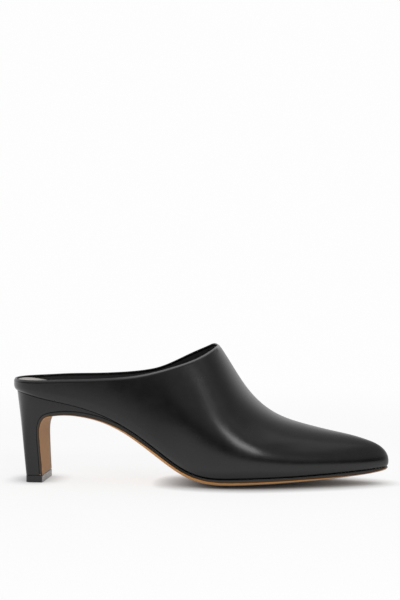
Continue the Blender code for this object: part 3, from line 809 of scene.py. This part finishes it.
def calf(name, looks):
    """Smooth black calf with fine pores, a slow unevenness of polish, faint dust, and a painted
    highlight in grey along the topline
    """
    finish = Finish(name, looks.upper_gloss, specular_ior_level=0.5)
    pores = finish.cells(looks.pore_size)
    fine = finish.noise(looks.pore_size * 3, 3.0)
    slow = finish.noise(0.021, 2.0)
    cloud = finish.noise(0.006, 3.0)
    finish.relief(pores * 0.0045 + fine * 0.010 + slow * 0.015)
    plain = finish.mix(
        cloud.ease(0.35, 0.75), looks.upper_colour, tint(looks.upper_colour, 1.5)
    )
    # The highlighted mark paints the topline's highlight in grey over the calf
    finish.set("Base Color", finish.mix(finish.mark("rubbed"), plain, looks.highlight_colour))
    finish.set("Roughness", (slow - 0.5) * 0.10 + (cloud - 0.5) * 0.06 + looks.upper_gloss)
    return finish.material


def lining_finish(looks):
    """Matt lining leather with a low nap"""
    finish = Finish("lining_leather", 0.62)
    nap = finish.noise(0.0006, 3.0)
    cloud = finish.noise(0.009, 3.0)
    finish.relief(nap * 0.03 + finish.cells(0.0009) * 0.015)
    finish.set("Base Color", finish.mix(
        cloud, looks.lining_colour, tint(looks.lining_colour, 1.7)
    ))
    finish.set("Roughness", nap * 0.15 + 0.52)
    return finish.material


def footbed_finish(looks):
    """Pale footbed leather: fine grain, soft clouding, and painted shade that darkens it in the
    corner by the wall
    """
    finish = Finish("footbed_leather", 0.55)
    grain = finish.cells(0.0007)
    fine = finish.noise(0.0012, 4.0)
    cloud = finish.noise(0.018, 3.0)
    # The edge mark carries painted shade: darker where the footbed meets the wall
    corner = finish.mark("edge")
    finish.relief(grain * 0.020 + fine * 0.020)
    pale = finish.mix(cloud, tint(looks.footbed_colour, 0.94), tint(looks.footbed_colour, 1.06))
    finish.set("Base Color", finish.mix(corner * 0.3, pale, tint(looks.footbed_colour, 0.55)))
    finish.set("Roughness", fine * 0.15 + 0.48)
    return finish.material


def sole_finish(looks):
    """Natural sole leather with fibres and scratches, and ink on the edge above the bevel"""
    finish = Finish("sole_leather", 0.6, specular_ior_level=0.08, coat_roughness=0.28)
    fibres = finish.noise(0.0011, 4.0, finish.stretched(0.25, 1.0, 1.0))
    cloud = finish.noise(0.012, 3.0)
    scratch = finish.noise(0.0009, 2.0, finish.stretched(0.05, 1.0, 1.0)).ease(0.60, 0.74)
    waver = (finish.noise(0.004, 2.0) - 0.5) * 0.00035
    ink = 1 - (finish.mark("below_ink") + waver).ease(-0.00006, 0.00010)
    tread = finish.mark("tread")
    worn = finish.mark("worn")
    tan = finish.mix(fibres, tint(looks.sole_colour, 0.80), tint(looks.sole_colour, 1.12))
    tan = finish.mix(cloud * 0.45, tan, tint(looks.sole_colour, 0.74))
    tan = finish.mix(tread * 0.65, tan, looks.tread_colour)
    tan = finish.mix(tread * scratch * 0.35, tan, tint(looks.sole_colour, 0.55))
    tan = finish.mix(tread * worn * 0.5, tan, tint(looks.sole_colour, 0.60))
    finish.set("Base Color", finish.mix(ink, tan, looks.ink_colour))
    dull = fibres * 0.12 + tread * 0.10 + 0.52
    finish.set("Roughness", dull - ink * 0.20)
    finish.set("Coat Weight", ink * 0.9)
    finish.relief(
        (1 - ink) * fibres * 0.020 + tread * scratch * -0.030 + cloud * 0.030
        + finish.noise(0.0012, 2.0) * ink * 0.012
    )
    return finish.material


def lift_finish(looks):
    """Hard dark rubber, scraped pale on its cut front, with a small pin hole there"""
    finish = Finish("lift_rubber", 0.5)
    front = finish.mark("front")
    speckle = finish.noise(0.0008, 4.0)
    smear = finish.noise(0.003, 3.0, finish.stretched(1.0, 0.35, 1.0))
    pin = finish.mark("pin").ease(0.0004, 0.0009)
    scraped = front * (0.55 + smear * 0.45) * pin
    finish.set("Base Color", finish.mix(
        scraped, finish.mix(speckle, looks.lift_colour, tint(looks.lift_colour, 2.0)),
        (0.40, 0.395, 0.38),
    ))
    finish.set("Roughness", speckle * 0.2 + 0.42)
    finish.relief(speckle * 0.03 + pin * front * 0.10)
    return finish.material


def upper_leather(mesh):
    """Leather shell: the skin of the last from the lasting margin to the topline, an
    inner face set in along the normals, and between them at the topline a half circle
    carried along it, which is the folded edge. In front both faces close on the ridge."""
    fold_radius = (WALL - ROLL) / 2
    rows = wall_rows(fold_radius, mesh.rows_behind, mesh.rows_ahead)
    feet = rows[0][:, None]
    edge, _ = sole_line(feet)
    reach = np.linalg.norm((edge - bottom(feet, 0, 0))[..., :2], axis=-1)
    margin = np.maximum(1 - LASTING_MARGIN / reach, MARGIN_LIMIT)
    turned_in = bottom(feet, blend(margin, 1, np.linspace(0, 1, 5)[None, :-1]), 0)
    low = skin(feet, np.linspace(0, 1, 13)[None])
    high = wall_face(rows, crowded(mesh.wall_steps)[None, 1:])
    outer = closed_loop(np.concatenate([turned_in, low, high], axis=1))
    out = face_out(outer)
    below = -over_topline(outer, fold_radius)
    thick = blend(WALL, UPPER_LEATHER, smooth(below / FOLD_EASE))
    inner = outer - out * thick[..., None]
    lean = ROLL * np.clip(1 - below / ROLL_HEIGHT, 0, 1) ** 2
    outer = outer - out * lean[..., None]

    last = mesh.rows_behind
    line = np.r_[-last - 1:-1, 0:last + 1]
    edge = outer[line, -1]
    edge_out = out[line, -1]
    along = np.concatenate([edge[1:2] - edge[-2:-1], edge[2:] - edge[:-2], edge[1:2] - edge[-2:-1]])
    edge_up = np.cross(edge_out, unit(along))
    angle = np.linspace(0, np.pi, 9)[None, :, None]
    centre = edge - edge_out * fold_radius
    fold = centre[:, None] + fold_radius * (
        edge_out[:, None] * np.cos(angle) + edge_up[:, None] * np.sin(angle)
    )
    # Painted highlight: a grey band along the topline and the outer half of the fold, faint at the
    # back and full further ahead
    ahead = HIGHLIGHT_FAINT + (1 - HIGHLIGHT_FAINT) * smooth(
        (station_at(outer[..., 0]) - HIGHLIGHT_STATIONS[0]) / (HIGHLIGHT_STATIONS[1] - HIGHLIGHT_STATIONS[0])
    )
    rubbed = ahead * smooth(1 - below / HIGHLIGHT_HEIGHT)
    panels = Panels()
    panels.add(outer, rubbed=rubbed)
    panels.add(inner)
    panels.add(fold, rubbed=rubbed[line, -1:] * (1 + np.cos(angle[..., 0])) / 2)
    panels.add(np.stack([outer[:, 0], inner[:, 0]], axis=1))
    return panels


def lining_leather(mesh):
    """Lining: two faces set in from the skin by the leather and by the whole wall, from
    under the footbed to just below the folded edge, closed along both edges"""
    drop = WALL / 2 + LINING_DROP
    rows = wall_rows(drop, mesh.rows_behind, mesh.rows_ahead)
    low = skin(rows[0][:, None], np.linspace(LINING_FOOT, 1, 7)[None])
    high = wall_face(rows, np.linspace(0, 1, mesh.wall_steps + 1)[None, 1:])
    face = closed_loop(np.concatenate([low, high], axis=1))
    out = face_out(face)
    hidden = face - out * (UPPER_LEATHER + 0.00003)
    shown = face - out * WALL
    panels = Panels()
    panels.add(hidden)
    panels.add(shown)
    panels.add(np.stack([hidden[:, 0], shown[:, 0]], axis=1))
    last = mesh.rows_behind
    line = np.r_[-last - 1:-1, 0:last + 1]
    panels.add(np.stack([hidden[line, -1], shown[line, -1]], axis=1))
    return panels


def inner_wall(turn, heights):
    """How far the inside of the wall lies within the sole line at heights over it: the
    tuck set in by the wall along its normal, read off at each height"""
    climbs = np.linspace(0, 1, SAMPLES)[None]
    aside, above = tuck(turn, climbs)
    run = np.gradient(aside, axis=1)
    rise = np.gradient(above, axis=1)
    size = np.hypot(run, rise)
    inner_aside = aside - WALL * rise / size
    inner_above = above + WALL * run / size
    return np.array([
        -np.interp(height, above_row, aside_row)
        for height, above_row, aside_row in zip(heights, inner_above, inner_aside)
    ])


def footbed_leather(mesh):
    """Footbed: the last's bottom raised by its thickness, with a quarter round brow, a
    side that follows the lining and a flat underside"""
    turn = both_sides(np.linspace(0, np.pi, mesh.rows_behind + mesh.rows_ahead))[:, None]
    seat = WALL + GAP
    top = FOOTBED * share_of["insole"](turn)
    side = blend(seat, top - INSOLE_EDGE, np.linspace(0, 1, 6)[None])
    inset = inner_wall(turn, side) + GAP
    angle = np.linspace(0, np.pi / 2, 6)[None, 1:]
    brow_height = top - INSOLE_EDGE * (1 - np.sin(angle))
    brow_inset = inset[:, -1:] + INSOLE_EDGE * (1 - np.cos(angle))
    share = np.linspace(1, 0, mesh.across + 1)[None]
    under = bottom(turn, share[:, ::-1], seat, inset[:, :1] * share[:, ::-1])
    grid = np.concatenate([
        under,
        bottom(turn, 1, side, inset),
        bottom(turn, 1, brow_height, brow_inset),
        bottom(turn, share[:, 1:], top, brow_inset[:, -1:]),
    ], axis=1)
    # Mark for the painted shade: 1 on the underside, side and brow, fading out over the outer sixth
    # of the top
    edge = np.concatenate([
        np.ones(under.shape[1] + side.shape[1] + angle.shape[1]),
        np.clip(1 - (1 - share[0, 1:]) * 6, 0, 1),
    ])
    panels = Panels()
    panels.add(closed_loop(grid), edge=edge[None])
    return panels


# Side view of the breast line, from the foot of the breast to where the outsole joins
ARCH_X = np.concatenate([
    [BREAST_X],
    BREAST_X + WING_LENGTH * BREAST["along"],
    [WING_X],
    JOIN_X + WING_RUNOUT * np.arange(3),
])
ARCH_Z = np.concatenate([
    [LIFT_TOP],
    HEEL_HEIGHT * BREAST["height"],
    [seat_z(WING_X) - upright(WING_X, GAP)],
    seat_z(ARCH_X[-3:]),
])
ARCH_KNOTS = np.concatenate([[0], np.cumsum(np.hypot(np.diff(ARCH_X), np.diff(ARCH_Z)))])
arch_x = curve_through(ARCH_KNOTS, ARCH_X)
arch_z = curve_through(ARCH_KNOTS, ARCH_Z)
STEM_END = ARCH_KNOTS[ARCH_INDEX]
WING_END = ARCH_KNOTS[len(BREAST_ROWS) + 1]
JOIN_END = ARCH_KNOTS[len(BREAST_ROWS) + 2]


def arch_down(distance):
    """Direction square to the breast line, out of the heel"""
    x = arch_x(distance + NUDGE) - arch_x(distance - NUDGE)
    z = arch_z(distance + NUDGE) - arch_z(distance - NUDGE)
    size = np.hypot(x, z)
    return vector(z / size, 0, -x / size)


def seat_top(x):
    return seat_z(x) - upright(x, GAP)


def heel_side(x, z, side):
    """Half width of the heel at a point of its side view: the seat's above, eased down
    to the lift's"""
    seat = side_y(side * -turn_of(station_at(x)))
    depth = (seat_top(x) - z) / (seat_top(x) - LIFT_TOP)
    return blend(seat, side * LIFT_WIDTH / 2, smooth(depth))


def breast_thickness(distance):
    ahead = SOLE_THICKNESS * share_of["sole"](turn_of(station_at(JOIN_X)))
    shares = np.concatenate([[0], BREAST["sole"], [WING_TIP_SOLE, 1]])
    return blend(FLAP, ahead, curve_through(ARCH_KNOTS[:len(shares)], shares)(distance))


def sole_rows(top, down, outward, thick, bevel):
    """Half sections of the outsole: across the top, round a small corner, down the inked
    edge, in over the bevel, and along the tread to the middle. Also the distance below
    the ink and whether a point is on the tread."""
    edge = top[:, -1:]
    down = down[:, None]
    outward = outward[:, None]
    thick = thick[:, None]
    bevel = bevel[:, None]
    depth = thick - bevel
    angle = np.linspace(0, np.pi / 2, 4)[None]
    corner_out = -EDGE_ROUND * (1 - np.sin(angle)) + 0 * depth
    corner_down = EDGE_ROUND * (1 - np.cos(angle)) + 0 * depth
    ink = np.linspace(0, 1, 5)[None, 1:]
    ink_down = blend(EDGE_ROUND, depth, ink)
    cut = np.linspace(0, 1, 7)[None, 1:]
    cut_out = -bevel * cut
    cut_down = depth + bevel * cut
    out = np.concatenate([corner_out, 0 * ink_down, cut_out], axis=1)
    fall = np.concatenate([corner_down, ink_down, cut_down], axis=1)
    face = edge + outward * out[..., None] + down * fall[..., None]
    rim = face[:, -1:]
    middle = top[:, :1] + down * thick[..., None]
    share = np.linspace(1, 0, top.shape[1])[None, 1:, None]
    tread = top[:, -2::-1] + down * thick[..., None]
    tread[..., :2] = (middle + (rim - middle) * share)[..., :2]
    tread[..., 2] = np.maximum(tread[..., 2], 0)
    face[..., 2] = np.maximum(face[..., 2], 0)
    grid = np.concatenate([top[:, :-1], face, tread], axis=1)
    below = np.concatenate([
        np.full((len(top), top.shape[1] - 1), -0.001), fall - depth,
        np.full(tread.shape[:2], 0.004),
    ], axis=1)
    on_tread = np.zeros(grid.shape[1])
    on_tread[-tread.shape[1] - 1:] = 1
    return grid, below, on_tread[None]


def outsole_side(side, mesh):
    """Rows of one side of the outsole: down the breast and under the wing along the
    breast line, then along the sole line to the toe"""
    shares = np.linspace(0, 1, mesh.across + 1)[None]
    distance = np.linspace(0, JOIN_END, mesh.rows_behind)[:, None]
    x = arch_x(distance)
    z = arch_z(distance)
    down = arch_down(distance[:, 0])
    y = heel_side(x, z, side)
    middle = (heel_side(x, z, -1) + heel_side(x, z, 1)) / 2
    top = vector(x, blend(middle, y, shares), z - crown_at(x) * (1 - shares ** 2))
    bevel = BEVEL * share_of["bevel"](turn_of(station_at(x)))
    outward = np.broadcast_to(vector(0, side, 0), down.shape)
    rear = sole_rows(
        top + down[:, None] * GAP, down, outward, breast_thickness(distance)[:, 0], bevel[:, 0]
    )
    start = turn_of(station_at(JOIN_X))
    turn = side * -np.linspace(start, np.pi, mesh.rows_ahead + 1)[1:]
    edge, outward = sole_line(turn)
    slope = upright(edge[:, 0], 1)
    fall = np.sqrt(slope ** 2 - 1) * np.sign(
        seat_z(edge[:, 0] - NUDGE) - seat_z(edge[:, 0])
    )
    down = vector(-fall / slope, 0, -1 / slope)
    spread = SOLE_MARGIN * (1 - share_of["pitch"](turn))
    top = bottom(turn[:, None], shares, -GAP, -spread[:, None])
    front = sole_rows(
        top, down, outward, SOLE_THICKNESS * share_of["sole"](turn),
        BEVEL * share_of["bevel"](turn),
    )
    grid = np.concatenate([rear[0], front[0]])
    below = np.concatenate([rear[1], front[1]])
    return grid, below, rear[2]


def outsole_leather(mesh):
    """Outsole: the rows of both sides, and the cut end on the heel lift"""
    lateral, below_l, on_tread = outsole_side(-1, mesh)
    medial, below_m, _ = outsole_side(1, mesh)
    grid = np.concatenate([lateral, medial[-2::-1]])
    below = np.concatenate([below_l, below_m[-2::-1]])
    worn = np.clip(1 - grid[..., 2] / 0.0012, 0, 1) * on_tread
    panels = Panels()
    panels.add(grid, below_ink=below, tread=on_tread, worn=worn)
    panels.add(np.stack([lateral[0], medial[0]]), below_ink=0.004, tread=0, worn=0)
    return panels


def lift_outline(share, front_x):
    """Half outline of the heel's foot and of its lift: the bowed back, a quarter circle
    at the corner and the straight side"""
    flat = np.clip(share / BACK_SHARE, 0, 1)
    corner = np.clip((share - BACK_SHARE) / CORNER_SHARE, 0, 1)
    straight = np.clip((share - BACK_SHARE - CORNER_SHARE) / (1 - BACK_SHARE - CORNER_SHARE), 0, 1)
    angle = corner * np.pi / 2
    x = LIFT_BACK_X + LIFT_BOW * flat ** 2 + LIFT_CORNER * (1 - np.cos(angle))
    x = blend(x, front_x, straight)
    y = (LIFT_WIDTH / 2 - LIFT_CORNER) * flat + LIFT_CORNER * np.sin(angle)
    return x, y


def stem_face(side, mesh):
    """Side of the heel behind the breast. Each row lies between the seat's outline and
    the lift's, by its depth below the seat; width eases from one to the other."""
    front_turn = turn_of(station_at(arch_x(STEM_END)))
    share = np.linspace(0, 1, 3 * mesh.across + 1)[None]
    seat_x = BACK_X + SOLE_LINE * station_of(front_turn * share)
    seat_y = side_y(side * -front_turn * share)
    top_z = seat_top(seat_x)
    lift_x, lift_y = lift_outline(share, BREAST_X)
    seat_share = (seat_x - BACK_X) / (seat_x[:, -1:] - BACK_X)
    lift_share = (lift_x - LIFT_BACK_X) / (BREAST_X - LIFT_BACK_X)
    upper_rows = np.linspace(0, 1, mesh.across + 1)[:, None]
    distance = np.linspace(STEM_END, 0, 2 * mesh.across + 1)[1:, None]
    z = np.concatenate([
        blend(top_z, arch_z(STEM_END), upper_rows),
        np.broadcast_to(arch_z(distance), (len(distance), share.shape[1])),
    ])
    front_x = np.concatenate([np.full_like(upper_rows, seat_x[0, -1]), arch_x(distance)])
    depth = (top_z - z) / (top_z - LIFT_TOP)
    along = blend(seat_share, lift_share, depth)
    x = blend(blend(BACK_X, LIFT_BACK_X, depth), front_x, along)
    y = blend(seat_y, side_y(side * -turn_of(station_at(x))), along)
    y = blend(y, side * lift_y, smooth(depth))
    y[:, -1] = heel_side(x[:, -1], z[:, -1], side)
    return vector(x, y, z)


def wing_face(side, mesh):
    """Side of the heel's wing: straight lines from the seat down to the breast line"""
    share = np.linspace(0, 1, 3 * mesh.across + 1)[None]
    low = blend(STEM_END, WING_END, share)
    top_x = blend(arch_x(STEM_END), WING_X, share ** WING_FAN)
    down = np.linspace(0, 1, mesh.across + 1)[:, None]
    x = blend(top_x, arch_x(low), down)
    z = blend(seat_top(top_x), arch_z(low), down)
    return vector(x, heel_side(x, z, side), z)


def bridge(lateral, medial, mesh):
    """Straight lines across the shoe between a line on each side, sunk by the crown"""
    shares = np.linspace(0, 1, 2 * mesh.across + 1)[:, None, None]
    grid = blend(lateral[None], medial[None], shares)
    grid[..., 2] -= crown_at(grid[..., 0]) * (1 - (2 * shares[..., 0] - 1) ** 2)
    return grid


def heel_cover(mesh):
    """Covered heel: both sides of stem and wing, the seat, the breast and the foot"""
    panels = Panels()
    lines = []
    for side in (-1, 1):
        stem = stem_face(side, mesh)
        wing = wing_face(side, mesh)
        panels.add(stem)
        panels.add(wing)
        lines.append((
            np.concatenate([stem[0], wing[0, 1:]]),
            np.concatenate([wing[-1, ::-1], stem[mesh.across + 1:, -1]]),
            stem[-1],
        ))
    for lateral, medial in zip(*lines):
        panels.add(bridge(lateral, medial, mesh))
    return panels


def heel_lift():
    """Heel lift: its outline carried up a profile with two quarter rounds, closed by
    rings that shrink towards the middle line"""
    shares = np.concatenate([
        np.linspace(0, BACK_SHARE, 15)[:-1],
        blend(BACK_SHARE, BACK_SHARE + CORNER_SHARE, np.linspace(0, 1, 15)),
        blend(BACK_SHARE + CORNER_SHARE, 1, np.linspace(0, 1, 15)[1:]),
    ])
    x, y = lift_outline(shares, LIFT_FRONT_X)
    front = np.linspace(1, -1, 30)[1:-1] * y[-1]
    loop_x = np.concatenate([x, np.full(len(front), LIFT_FRONT_X), x[:0:-1], x[:1]])
    loop_y = np.concatenate([y, front, -y[:0:-1], y[:1]])
    centre_x = (LIFT_BACK_X + LIFT_FRONT_X) / 2
    angle = np.linspace(0, np.pi / 2, 5)
    inset = LIFT_ROUND * np.concatenate([1 - np.sin(angle), 1 - np.cos(angle)])
    height = np.concatenate([
        LIFT_ROUND * (1 - np.cos(angle)), LIFT_HEIGHT - LIFT_ROUND * (1 - np.sin(angle)),
    ])
    steps = np.linspace(0, 1, 6)
    half_x = LIFT_LENGTH / 2
    half_y = LIFT_WIDTH / 2
    scale = np.concatenate([steps[:-1], np.ones(len(inset)), steps[-2::-1]])
    inset = np.concatenate([np.full(5, LIFT_ROUND), inset, np.full(5, LIFT_ROUND)])
    height = np.concatenate([np.zeros(5), height, np.full(5, LIFT_HEIGHT)])
    shrink_x = (scale * (1 - inset / half_x))[:, None]
    shrink_y = (scale * (1 - inset / half_y))[:, None]
    grid = vector(
        centre_x + (loop_x - centre_x) * shrink_x, loop_y * shrink_y, height[:, None]
    )
    on_front = (grid[..., 0] > LIFT_FRONT_X - LIFT_ROUND) * 1.0
    pin = np.hypot(grid[..., 1], grid[..., 2] - LIFT_HEIGHT * 0.65)
    panels = Panels()
    panels.add(grid, front=on_front, pin=pin)
    return panels


class Build:
    """What the operators share: their settings on the scene"""

    bl_options = {"REGISTER", "UNDO"}

    def execute(self, context):
        scene = context.scene
        self.make(scene.mule_leather, scene.mule_mesh, scene.mule_stage)
        return {"FINISHED"}


class MULE_OT_upper(Build, bpy.types.Operator):
    """Make the leather upper with its folded topline"""

    bl_idname = "mule.upper"
    bl_label = "Upper"

    def make(self, looks, mesh, _):
        panels = upper_leather(mesh)
        panels.finish("upper_leather", calf("black_calf", looks), "black_leather", "upper")


class MULE_OT_lining(Build, bpy.types.Operator):
    """Make the lining"""

    bl_idname = "mule.lining"
    bl_label = "Lining"

    def make(self, looks, mesh, _):
        lining_leather(mesh).finish("lining", lining_finish(looks), "black_leather")


class MULE_OT_footbed(Build, bpy.types.Operator):
    """Make the footbed"""

    bl_idname = "mule.footbed"
    bl_label = "Footbed"

    def make(self, looks, mesh, _):
        panels = footbed_leather(mesh)
        panels.finish("footbed", footbed_finish(looks), "footbed_leather", "insole")


class MULE_OT_outsole(Build, bpy.types.Operator):
    """Make the leather outsole with its inked edge and bevel"""

    bl_idname = "mule.outsole"
    bl_label = "Outsole"

    def make(self, looks, mesh, _):
        panels = outsole_leather(mesh)
        panels.finish("outsole_leather", sole_finish(looks), "sole_leather", "outsole")


class MULE_OT_heel(Build, bpy.types.Operator):
    """Make the covered heel"""

    bl_idname = "mule.heel"
    bl_label = "Heel"

    def make(self, looks, mesh, _):
        heel_cover(mesh).finish("heel_cover", calf("heel_calf", looks), "black_leather", "heel")


class MULE_OT_lift(Build, bpy.types.Operator):
    """Make the heel lift"""

    bl_idname = "mule.lift"
    bl_label = "Heel lift"

    def make(self, looks, mesh, _):
        heel_lift().finish("heel_lift_rubber", lift_finish(looks), "lift_rubber", "heel_lift")


def add_softbox(name, power, size, place, aim):
    """Area light that faces a point"""
    light = bpy.data.lights.new(name, "AREA")
    light.shape = "RECTANGLE"
    light.size, light.size_y = size
    light.energy = power
    lamp = bpy.data.objects.new(name, light)
    lamp.location = place
    lamp.rotation_euler = (Vector(aim) - Vector(place)).to_track_quat("-Z", "Y").to_euler()
    bpy.context.scene.collection.objects.link(lamp)


class MULE_OT_stage(Build, bpy.types.Operator):
    """Set the pale floor, the soft lights and the camera"""

    bl_idname = "mule.stage"
    bl_label = "Stage"

    def make(self, looks, mesh, stage):
        self.floor(stage)
        self.sky(stage)
        add_softbox("fill_softbox", stage.fill_light, (2.4, 2.0), (0.0, -0.2, 1.9), (0, 0, 0))
        add_softbox(
            "side_softbox", stage.side_light, (0.6, 0.38), (0.50, -1.49, 0.90), (0.02, 0, 0.05)
        )
        self.camera(stage)

    def floor(self, stage):
        finish = Finish("floor", 0.9, specular_ior_level=0.0, emission_strength=1.0)
        reach = finish.node(
            "ShaderNodeVectorMath", {"operation": "LENGTH"}, {0: finish.place}, out="Value"
        )
        far = reach.ease(0.28, 0.75)
        # Near the shoe the floor glows, which lifts the cast shadows, and ambient occlusion cuts the
        # glow into a painted contact shadow. Far off it glows as the even backdrop.
        lit = finish.node("ShaderNodeAmbientOcclusion", {"samples": 8}, {"Distance": 0.018}, out="AO")
        glow_with_painted_shadow = lit * stage.floor_glow
        finish.set("Base Color", finish.mix(far, (stage.floor_tone,) * 3, (0.0,) * 3))
        near = finish.mix(glow_with_painted_shadow, (0.0,) * 3, (1.0,) * 3)
        finish.set("Emission Color", finish.mix(far, near, (stage.backdrop,) * 3))
        step = np.linspace(-4, 4, 3)
        x, y = np.meshgrid(step, step, indexing="ij")
        mesh = bpy.data.meshes.new("floor")
        points = vector(x, y, 0 * x).reshape(-1, 3)
        mesh.from_pydata(points.tolist(), [], quads_of(3, 3)[:, ::-1].tolist())
        mesh.materials.append(finish.material)
        floor = bpy.data.objects.new("floor", mesh)
        bpy.context.scene.collection.objects.link(floor)

    def sky(self, stage):
        """Even pale backdrop. As light the room is white behind the shoe, and on the
        shown side dark near the horizon and grey above it."""
        world = bpy.data.worlds.new("studio")
        bpy.context.scene.world = world
        world.use_nodes = True
        tree = world.node_tree
        tree.nodes.clear()
        place = tree.nodes.new("ShaderNodeTexCoord")
        split = tree.nodes.new("ShaderNodeSeparateXYZ")
        front = self.ramp(tree, 0.13, 0.40, stage.front_band, stage.room)
        back = self.ramp(tree, 0.25, 0.70, stage.back, stage.room)
        behind = self.ramp(tree, -0.10, 0.50, 0.0, 1.0)
        whole = tree.nodes.new("ShaderNodeMix")
        room = tree.nodes.new("ShaderNodeBackground")
        backdrop = tree.nodes.new("ShaderNodeBackground")
        backdrop.inputs[0].default_value = (stage.backdrop,) * 3 + (1,)
        ray = tree.nodes.new("ShaderNodeLightPath")
        mix = tree.nodes.new("ShaderNodeMixShader")
        output = tree.nodes.new("ShaderNodeOutputWorld")
        link = tree.links.new
        link(place.outputs["Generated"], split.inputs[0])
        link(split.outputs["Z"], front.inputs[0])
        link(split.outputs["Z"], back.inputs[0])
        link(split.outputs["Y"], behind.inputs[0])
        link(behind.outputs[0], whole.inputs[0])
        link(front.outputs[0], whole.inputs[2])
        link(back.outputs[0], whole.inputs[3])
        link(whole.outputs[0], room.inputs["Strength"])
        link(ray.outputs["Is Camera Ray"], mix.inputs[0])
        link(room.outputs[0], mix.inputs[1])
        link(backdrop.outputs[0], mix.inputs[2])
        link(mix.outputs[0], output.inputs[0])
        bpy.context.scene.view_settings.view_transform = "Standard"

    def ramp(self, tree, low, high, start, end):
        """Eased ramp of a direction's part from one brightness to another"""
        node = tree.nodes.new("ShaderNodeMapRange")
        node.interpolation_type = "SMOOTHSTEP"
        for i, value in enumerate((low, high, start, end), start=1):
            node.inputs[i].default_value = value
        return node

    def camera(self, stage):
        data = bpy.data.cameras.new("camera")
        data.lens = stage.lens
        data.clip_start = 0.01
        camera = bpy.data.objects.new("camera", data)
        distance = stage.camera_distance
        turn = stage.camera_turn
        place = Vector((distance * np.sin(turn), -distance * np.cos(turn), stage.camera_height))
        aim = Vector((0, 0, stage.aim_height))
        camera.location = place
        camera.rotation_euler = (aim - place).to_track_quat("-Z", "Y").to_euler()
        bpy.context.scene.collection.objects.link(camera)
        bpy.context.scene.camera = camera


OPERATORS = (
    MULE_OT_upper, MULE_OT_lining, MULE_OT_footbed, MULE_OT_outsole,
    MULE_OT_heel, MULE_OT_lift, MULE_OT_stage,
)


class MULE_PT_panel(bpy.types.Panel):
    """The mule's pieces and their settings"""

    bl_label = "Heeled Mule"
    bl_idname = "MULE_PT_panel"
    bl_space_type = "VIEW_3D"
    bl_region_type = "UI"
    bl_category = "Mule"

    def draw(self, context):
        layout = self.layout
        for group in (context.scene.mule_leather, context.scene.mule_mesh, context.scene.mule_stage):
            for name in group.__annotations__:
                layout.prop(group, name)
        for operator in OPERATORS:
            layout.operator(operator.bl_idname)


CLASSES = (MuleLeather, MuleMesh, MuleStage, *OPERATORS, MULE_PT_panel)


def register():
    for item in CLASSES:
        bpy.utils.register_class(item)
    bpy.types.Scene.mule_leather = PointerProperty(type=MuleLeather)
    bpy.types.Scene.mule_mesh = PointerProperty(type=MuleMesh)
    bpy.types.Scene.mule_stage = PointerProperty(type=MuleStage)


def unregister():
    del bpy.types.Scene.mule_leather
    del bpy.types.Scene.mule_mesh
    del bpy.types.Scene.mule_stage
    for item in reversed(CLASSES):
        bpy.utils.unregister_class(item)


def main():
    """Build every piece and the stage"""
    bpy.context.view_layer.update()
    register()
    bpy.ops.mule.upper()
    bpy.ops.mule.lining()
    bpy.ops.mule.footbed()
    bpy.ops.mule.outsole()
    bpy.ops.mule.heel()
    bpy.ops.mule.lift()
    bpy.ops.mule.stage()


if __name__ == "__main__":
    main()
